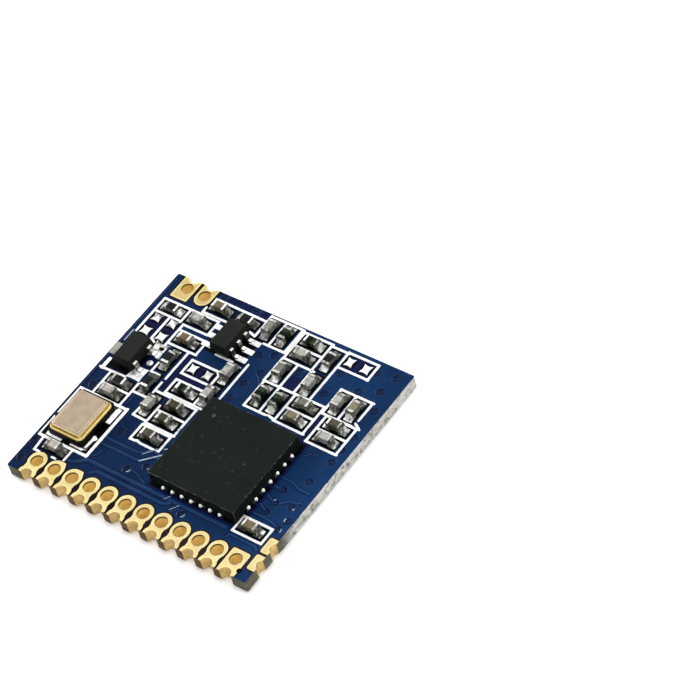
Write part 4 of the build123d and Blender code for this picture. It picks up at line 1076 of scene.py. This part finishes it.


# how bright each end looks, painted as lit and shaded copies of one solder: n is the end at the front or right, f the
# other one
FIL = {k: 0 for k in "l4n c11n c12f".split()}
FIL.update({k: 2 for k in "r2n r5n r5f r6n c17n c19n c22n c11f c5n c10f c13f c6f r6f c7f r3f".split()})
FIL.update({k: 3 for k in "r1n r3n c6n c4n l1n c9n c12n c16n c7n l5n l2n r4n l2f r1f".split()})
# which lit or shaded copy of the tin each cap's flat top takes: painted light and shade
CAPTOP = {k: 2 for k in "r1n r2n r4n r5n r6n c2n c2f c3f l2f c12f c14f l5f c20f c21f".split()}
CAPTOP.update({k: 1 for k in "c1n l1n".split()})
CAPTOP["r5f"] = 3
b = Build()
sd = 100
for n in passives:
    cx, cy, a, h = PAS[n]
    for s in (-1, 1):
        sd += 1
        dx, dy = (s, 0) if a == 0 else (0, s)
        tag = n.split("_")[1] + ("n" if (s > 0) == (a == 0) else "f")
        fillet_mesh(b, cx + dx * 0.5, cy + dy * 0.5, dx, dy, 0.5, 0.26, h * 0.66, mi=FIL.get(tag, 1), seed=sd)
o = b.obj("solder_fillets_reflowed", [M["solder"], M["solder_mid"], M["solder_dark"], M["solder_half"]], "solder", 65)
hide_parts("solder_fillets")

# solder at the crystal's corners, the gull-wing feet and the chip's terminals
def pool(b, loop, z, mi=0):
    """A thin sheet of solder with a rounded border."""
    if area(loop) < 0:
        loop = loop[::-1]
    loops = []
    for d, s in ((0.0, 0.0), (0.004, 0.5), (0.015, 0.85), (0.035, 1.0)):
        loops.append([(x, y, T + 0.028 + s * (z - 0.028)) for x, y in (inset(loop, d) if d else loop)])
    for lo, hi in zip(loops, loops[1:]):
        strip(b, lo, hi, mi)
    k = len(loop)
    b.add(loops[-1], [tuple(range(k))], mi)
    b.add(loops[0], [tuple(range(k))[::-1]], mi)


b = Build()
pool(b, [(3.14, 4.90), (3.46, 4.92), (3.47, 6.02), (3.22, 6.06), (3.12, 5.80)], 0.08)
pool(b, [(3.20, 2.96), (3.32, 2.96), (3.38, 3.56), (3.50, 3.66), (3.50, 3.80), (3.30, 3.90), (3.18, 3.84), (3.22, 3.60)], 0.08)
pool(b, [(2.30, 2.74), (3.20, 2.72), (3.28, 2.86), (2.84, 2.86), (2.34, 2.88)], 0.06)
pool(b, [(0.62, 2.70), (1.70, 2.68), (1.74, 2.86), (1.10, 2.90), (0.62, 2.92)], 0.08)
# the pools along the crystal's left and back sides take the darker solder copy: painted shade
pool(b, [(0.52, 3.0), (0.66, 2.96), (0.68, 3.5), (0.52, 3.6)], 0.06, 1)
pool(b, [(0.52, 5.0), (0.66, 5.0), (0.68, 5.9), (0.52, 5.94)], 0.06, 1)
pool(b, [(0.60, 5.98), (1.6, 5.98), (1.6, 6.08), (0.60, 6.09)], 0.06, 1)
b.obj("crystal_solder", [M["bead"], M["solder_mid"]], "solder", 65)

b = Build()
swx, swy = 6.05, 12.75
for side in (-1, 1):
    for kk in (-1, 0, 1):
        sd += 1
        fillet_mesh(b, swx + side * 1.05, swy + kk * 0.65, side, 0, 0.30, 0.22, 0.05, seed=sd)
trx, try_ = 1.68, 9.45
for side, kk, w in ((-1, 0, 0.8), (1, -1, 0.5), (1, 1, 0.5)):
    sd += 1
    fillet_mesh(b, trx + side * 1.05, try_ + kk * 0.65, side, 0, w * 0.7, 0.16, 0.05, seed=sd)
b.obj("lead_solder", [M["solder"]], "solder", 65)

cx0, cy0 = 11.04, 5.80
b = Build()


def blob(b, x, y, dx, dy, w, out, h, seed):
    """A rounded bead of solder that stands against a leadless terminal."""
    r = random.Random(seed)
    w *= r.uniform(0.90, 1.06); out *= r.uniform(0.9, 1.15); h *= r.uniform(0.90, 1.10)
    px, py = -dy, dx
    nu, nv = 14, 10
    v, f = [], []
    for i in range(nv + 1):
        ph = math.pi * (i / nv - 0.5)
        cp = abs(math.cos(ph)) ** 0.7
        for j in range(nu + 1):
            th = math.pi * j / nu
            u, q = math.cos(th) * cp, math.sin(th) * cp
            v.append((x + px * u * w / 2 + dx * (q * out - 0.01), y + py * u * w / 2 + dy * (q * out - 0.01), T + 0.13 + (math.sin(ph) + 1) / 2 * h))
    m = nu + 1
    for i in range(nv):
        for j in range(nu):
            a = i * m + j
            f.append((a, a + 1, a + m + 1, a + m))
    f.append(tuple([i * m for i in range(nv + 1)] + [i * m + nu for i in range(nv, -1, -1)]))
    b.add(v, f)


for k in range(-3, 4):
    s = k * 0.65
    for x, y, dx, dy in ((cx0 + s - 0.04, cy0 - 3, 0, -1), (cx0 + s, cy0 + 3, 0, 1), (cx0 - 3, cy0 + s, -1, 0), (cx0 + 3, cy0 + s + 0.06, 1, 0)):
        sd += 1
        blob(b, x, y, dx, dy, 0.225, 0.14, 0.21, sd)
b.obj("chip_terminal_solder", [M["bead"]], "solder", 70)

# a gas pit in the solder of the transistor's right land
b = Build()
for k, (x, y, r) in enumerate(((2.72, 10.58, 0.155), (2.33, 10.22, 0.055))):
    pts = [(x + r * 1.15 * math.cos(a), y + r * 0.8 * math.sin(a)) for a in [2 * math.pi * i / 18 for i in range(18)]]
    b.add([(*q, T + 0.058) for q in pts] + [(*q, T + 0.04) for q in pts],
          [tuple(range(18)), tuple(range(35, 17, -1))] + [(i, 18 + i, 18 + (i + 1) % 18, (i + 1) % 18) for i in range(18)])
b.obj("solder_gas_pit", [M["ceramic"]], "solder", 60)

# ------------------------------------------------------------------ chip, crystal, packages
# the chip's bevelled edges take the lighter edge material: painted highlight
chip = bevelled("radio_chip_body", "radio_chip_moulding", [M["chip"], M["chip_edge"]], 0.026, 2, angle=60, edge_mi=1)
b = Build()
dxm, dym = cx0 - 2.075, cy0 + 1.86
k = 28
zt = T + 0.03 + 0.9
rings = [[(dxm + r * math.cos(2 * math.pi * i / k), dym + r * math.sin(2 * math.pi * i / k), zt + z) for i in range(k)]
         for r, z in ((0.106, -0.0005), (0.09, -0.014), (0.055, -0.022), (0.02, -0.025))]
for lo, hi in zip(rings, rings[1:]):
    strip(b, lo, hi, 0)
b.add(rings[-1], [tuple(range(k))], 0)
b.add([(x, y, zt - 0.0285) for x, y, _ in rings[0]], [tuple(range(k))], 0)
strip(b, [(x, y, zt - 0.0285) for x, y, _ in rings[0]], rings[0], 0)
b.obj("pin_one_dimple", [M["mark"]], "moulding_compound", 60)

bevelled("rf_switch_body", "rf_switch_moulding", [M["sot"]], 0.035, 3, angle=20)
bevelled("transistor_body", "transistor_moulding", [M["sot"]], 0.035, 3, angle=20)
# the steep faces of the gull wings take a darker solder copy: painted shade
bevelled("rf_switch_leads", "rf_switch_gull_wings", [M["tinned"], M["solder_dark"]], 0.022, 2, angle=12, steep_mi=1)
bevelled("transistor_leads", "transistor_gull_wings", [M["tinned"], M["solder_mid"]], 0.022, 2, angle=12, steep_mi=1)
bevelled("crystal_base", "crystal_ceramic_base", [M["ceramic"]], 0.03, 2, angle=60)

xx, xy = 1.92, 4.40
b = Build()
z0 = T + 0.03 + 0.42
outer = [(0.0, 0.0, 0), (0.004, 0.040, 0), (0.014, 0.080, 0), (0.028, 0.110, 0), (0.044, 0.130, 0), (0.056, 0.134, 0), (0.064, 0.124, 1), (0.072, 0.114, 1), (0.108, 0.112, 1), (0.135, 0.12, 1), (0.148, 0.14, 1)]
base = rrect(xx, xy, 2.36, 2.96, 0.30, 8)
loops = [[(x, y, z0 + dz) for x, y in (inset(base, d) if d else base)] for d, dz, _ in outer]
for lo, hi, (_, _, mi) in zip(loops, loops[1:], outer[1:]):
    strip(b, lo, hi, mi)
inner = rrect(xx, xy, 1.7, 2.4, 0.2, 8)
pts, tris = fill([(p[0], p[1]) for p in loops[-1]], [inner])
b.add([(x, y, z0 + 0.14) for x, y in pts], tris, 0)
pts, tris = fill(base, [inner])
b.add([(x, y, z0) for x, y in pts], [t[::-1] for t in tris], 0)
strip(b, [(x, y, z0) for x, y in inner], [(x, y, z0 + 0.14) for x, y in inner], 0)
o = b.obj("crystal_gold_ring", [M["ring"], M["ring_deep"]], "gold_seal_ring", 50)
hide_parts("crystal_seal_ring")

b = Build()
z1 = z0 + 0.14
prof = [(0.0, 0.0, 1), (0.0, 0.100, 1), (0.010, 0.122, 1), (0.024, 0.136, 3), (0.052, 0.142, 3), (0.110, 0.146, 2), (0.124, 0.160, 0), (0.138, 0.174, 3), (0.156, 0.180, 3), (0.180, 0.180, 0)]
base = rrect(xx - 0.03, xy + 0.03, 2.10, 2.72, 0.24, 8)
loops = [[(x, y, z1 + dz) for x, y in (inset(base, d) if d else base)] for d, dz, _ in prof]
for lo, hi, (_, _, mi) in zip(loops, loops[1:], prof[1:]):
    strip(b, lo, hi, mi)
pts, tris = fill([(p[0], p[1]) for p in loops[-1]])
b.add([(x, y, z1 + 0.18) for x, y in pts], tris, 0)
b.add([(x, y, z1) for x, y in base], [tuple(range(len(base)))[::-1]], 0)
o = b.obj("crystal_metal_lid", [M["lid"], M["lid_wall"], M["lid_flange"], M["lid_edge"]], "crystal_lid_metal", 35)
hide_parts("crystal_lid")

# ------------------------------------------------------------------ chip passives
TONE = {"c1": "c_grey", "c2": "c_tan", "c3": "c_brown", "c4": "c_mid", "c5": "c_grey", "c6": "c_dim", "c7": "c_grey", "c8": "c_dim",
        "c9": "c_khaki", "c10": "c_grey", "c11": "c_sand", "c12": "c_umber", "c13": "c_grey", "c14": "c_tan", "c15": "c_grey", "c16": "c_grey",
        "c17": "c_warm", "c18": "c_grey", "c19": "c_olive", "c20": "c_olive", "c21": "c_umber", "c22": "c_warm"}
SLOTS = {"c1": "capacitor_grey", "c3": "capacitor_brown", "c12": "capacitor_brown"}
for k in ("c5", "c6", "c7", "c4", "c8", "c10", "c13", "c15", "c16", "c17", "c18", "c22"):
    SLOTS[k] = "capacitor_grey"
def end_cap(b, cx, cy, a, s, el, zb, h, half, top_mi):
    """A plated end: flat on top next to the ceramic, falling in a round shoulder to the end face."""
    q0 = 0.5 - el
    prof = [(q0, zb), (q0, zb + h - 0.014), (q0 + 0.020, zb + h), (0.415, zb + h), (0.448, zb + h - 0.010), (0.476, zb + h - 0.042),
            (0.491, zb + h - 0.085), (0.499, zb + h - 0.150), (0.5, zb + 0.02), (0.5, zb)]
    k = len(prof)
    loops = []
    for u, d in ((-half, 0.022), (-half + 0.007, 0.008), (-half + 0.022, 0.0), (half - 0.022, 0.0), (half - 0.007, 0.008), (half, 0.022)):
        loop = inset(prof, d) if d else prof
        loops.append([(cx + s * q, cy + u, z) if a == 0 else (cx + u, cy + s * q, z) for q, z in ((q, min(max(z, zb), zb + h)) for q, z in loop)])
    # the round inner edge and the upper shoulder take the shoulder's painted shade, the flat top its own lit or shaded
    # copy, the rest the shaded copy
    for lo, hi in zip(loops, loops[1:]):
        n0 = len(b.f)
        strip(b, lo, hi, 1)
        b.m[n0 + 1] = 3
        b.m[n0 + 2] = top_mi
        b.m[n0 + 3] = b.m[n0 + 4] = 3
    b.add(loops[0], [tuple(range(k))], 1)
    b.add(loops[-1], [tuple(range(k))[::-1]], 1)


caps = {"cap": Build(), "res": Build(), "ind": Build()}
for n in passives:
    cx, cy, a, h = PAS[n]
    kind = n[:3]
    zb = T + 0.03
    b = Build()

    def box(lo, hi, r, mi, bb=b, cx=cx, cy=cy, a=a):
        """A rounded box given along the part's length."""
        if a == 0:
            rbox(bb, (cx + lo[0], cy + lo[1], lo[2]), (cx + hi[0], cy + hi[1], hi[2]), r, 3, mi)
        else:
            rbox(bb, (cx - hi[1], cy + lo[0], lo[2]), (cx - lo[1], cy + hi[0], hi[2]), r, 3, mi)

    key = n.split("_")[1]
    if kind == "cap":
        box((-0.47, -0.225, zb + 0.028), (0.47, 0.225, zb + h - 0.028), 0.02, 0)
        mats, slot = [M[TONE[key]]], SLOTS.get(key, "capacitor_tan")
    elif kind == "res":
        box((-0.47, -0.235, zb + 0.02), (0.47, 0.235, zb + h - 0.045), 0.012, 1)
        box((-0.28, -0.225, zb + h - 0.05), (0.28, 0.225, zb + h - 0.004), 0.015, 0)
        mats, slot = [M["r_black"], M["r_body"]], "resistor_black"
    else:
        box((-0.47, -0.225, zb + 0.028), (0.47, 0.225, zb + h - 0.028), 0.02, 0)
        box((-0.24, -0.228, zb + 0.10), (0.02, 0.228, zb + h - 0.022), 0.012, 1)
        mats, slot = [M["l_green"], M["l_dark"]], "inductor_green"
    o = b.obj(n + "_ceramic", mats, slot, 50)
    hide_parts(n)
    c = caps[kind]
    el = 0.24 * rng.uniform(0.88, 1.12)
    for s in (-1, 1):
        near = (s > 0) == (a == 0)
        tag = key + ("n" if near else "f")
        end_cap(c, cx, cy, a, s, el, zb, h - (0.01 if kind == "res" else 0.0), 0.242 if kind == "res" else 0.25, CAPTOP.get(tag, 0))
for kind, label in (("cap", "capacitor_end_caps"), ("res", "resistor_end_caps"), ("ind", "inductor_end_caps")):
    o = caps[kind].obj(label + "_tinned", [M["end"], M["end_side"], M["end_light"], M["end_line"]], "tinned_ends", 50)
    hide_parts(label)

# ------------------------------------------------------------------ floor, light and camera
def floor_mat():
    m, nt, b, vec = new_mat("floor_pale")
    n1 = noise(nt, vec, 40.0, 3.0)
    nt.links.new(ramp(nt, n1, [(0.3, (0.90, 0.90, 0.90)), (0.7, (0.92, 0.92, 0.92))]), b.inputs["Base Color"])
    b.inputs["Roughness"].default_value = 0.9
    b.inputs["Specular IOR Level"].default_value = 0.1
    return m


me = bpy.data.meshes.new("floor")
s = 1.2
me.from_pydata([(-s, -s, -0.00002), (s, -s, -0.00002), (s, s, -0.00002), (-s, s, -0.00002)], [], [(0, 1, 2, 3)])
me.materials.append(floor_mat())
floor = bpy.data.objects.new("floor", me)
bpy.context.scene.collection.objects.link(floor)

world = bpy.data.worlds.new("soft_studio")
bpy.context.scene.world = world
world.use_nodes = True
bg = world.node_tree.nodes["Background"]
bg.inputs["Color"].default_value = (1.0, 1.0, 1.0, 1.0)
bg.inputs["Strength"].default_value = 0.12


def area_light(name, pos, size, power, size_y=None, aim=(0, 0, 0)):
    l = bpy.data.lights.new(name, "AREA")
    l.energy = power
    l.size = size
    if size_y:
        l.shape = "RECTANGLE"; l.size_y = size_y
    o = bpy.data.objects.new(name, l)
    o.location = pos
    d = Vector(aim) - Vector(pos)
    o.rotation_euler = d.to_track_quat("-Z", "Y").to_euler()
    bpy.context.scene.collection.objects.link(o)
    return o


def toward(d, dist):
    v = Vector(d).normalized() * dist
    return (v.x, v.y, v.z)


area_light("softbox_broad", toward((-0.52, 0.40, 0.75), 0.6), 0.60, 1.24)
area_light("key_top", toward((-0.08, 0.05, 0.995), 0.5), 0.22, 1.02)
area_light("key_left", toward((-0.90, 0.10, 0.42), 0.5), 0.20, 1.87)
area_light("key_back", toward((0.0, 0.85, 0.53), 0.5), 0.20, 1.19)
area_light("fill_top_right", toward((0.35, -0.15, 0.92), 0.6), 0.30, 0.45)
area_light("strip_right_back", toward((0.72, 0.45, 0.47), 0.45), 0.14, 0.49)
area_light("fill_front_right", toward((0.72, -0.56, 0.40), 0.5), 0.30, 0.75)
area_light("strip_front_left", toward((-0.49, -0.72, 0.43), 0.45), 0.10, 0.19)

# camera fitted to the photograph: rows are the camera's right, down and forward axes
CAM_R = ((0.797627, 0.5756371, -0.1800919), (0.3475424, -0.6826699, -0.6427877), (-0.4929558, 0.4501153, -0.7445742))
CAM_C = (0.08053029, -0.06218754, 0.11636006)
cam = bpy.data.cameras.new("camera")
cam.sensor_width = 36.0
cam.sensor_fit = "HORIZONTAL"
cam.lens = 145.092
cam.clip_start = 0.005
cam.clip_end = 20.0
co = bpy.data.objects.new("camera", cam)
bpy.context.scene.collection.objects.link(co)
r, d, f = (Vector(a) for a in CAM_R)
co.matrix_world = Matrix(((r.x, -d.x, -f.x, CAM_C[0]), (r.y, -d.y, -f.y, CAM_C[1]), (r.z, -d.z, -f.z, CAM_C[2]), (0, 0, 0, 1)))
bpy.context.scene.camera = co
bpy.context.scene.view_settings.view_transform = "Standard"
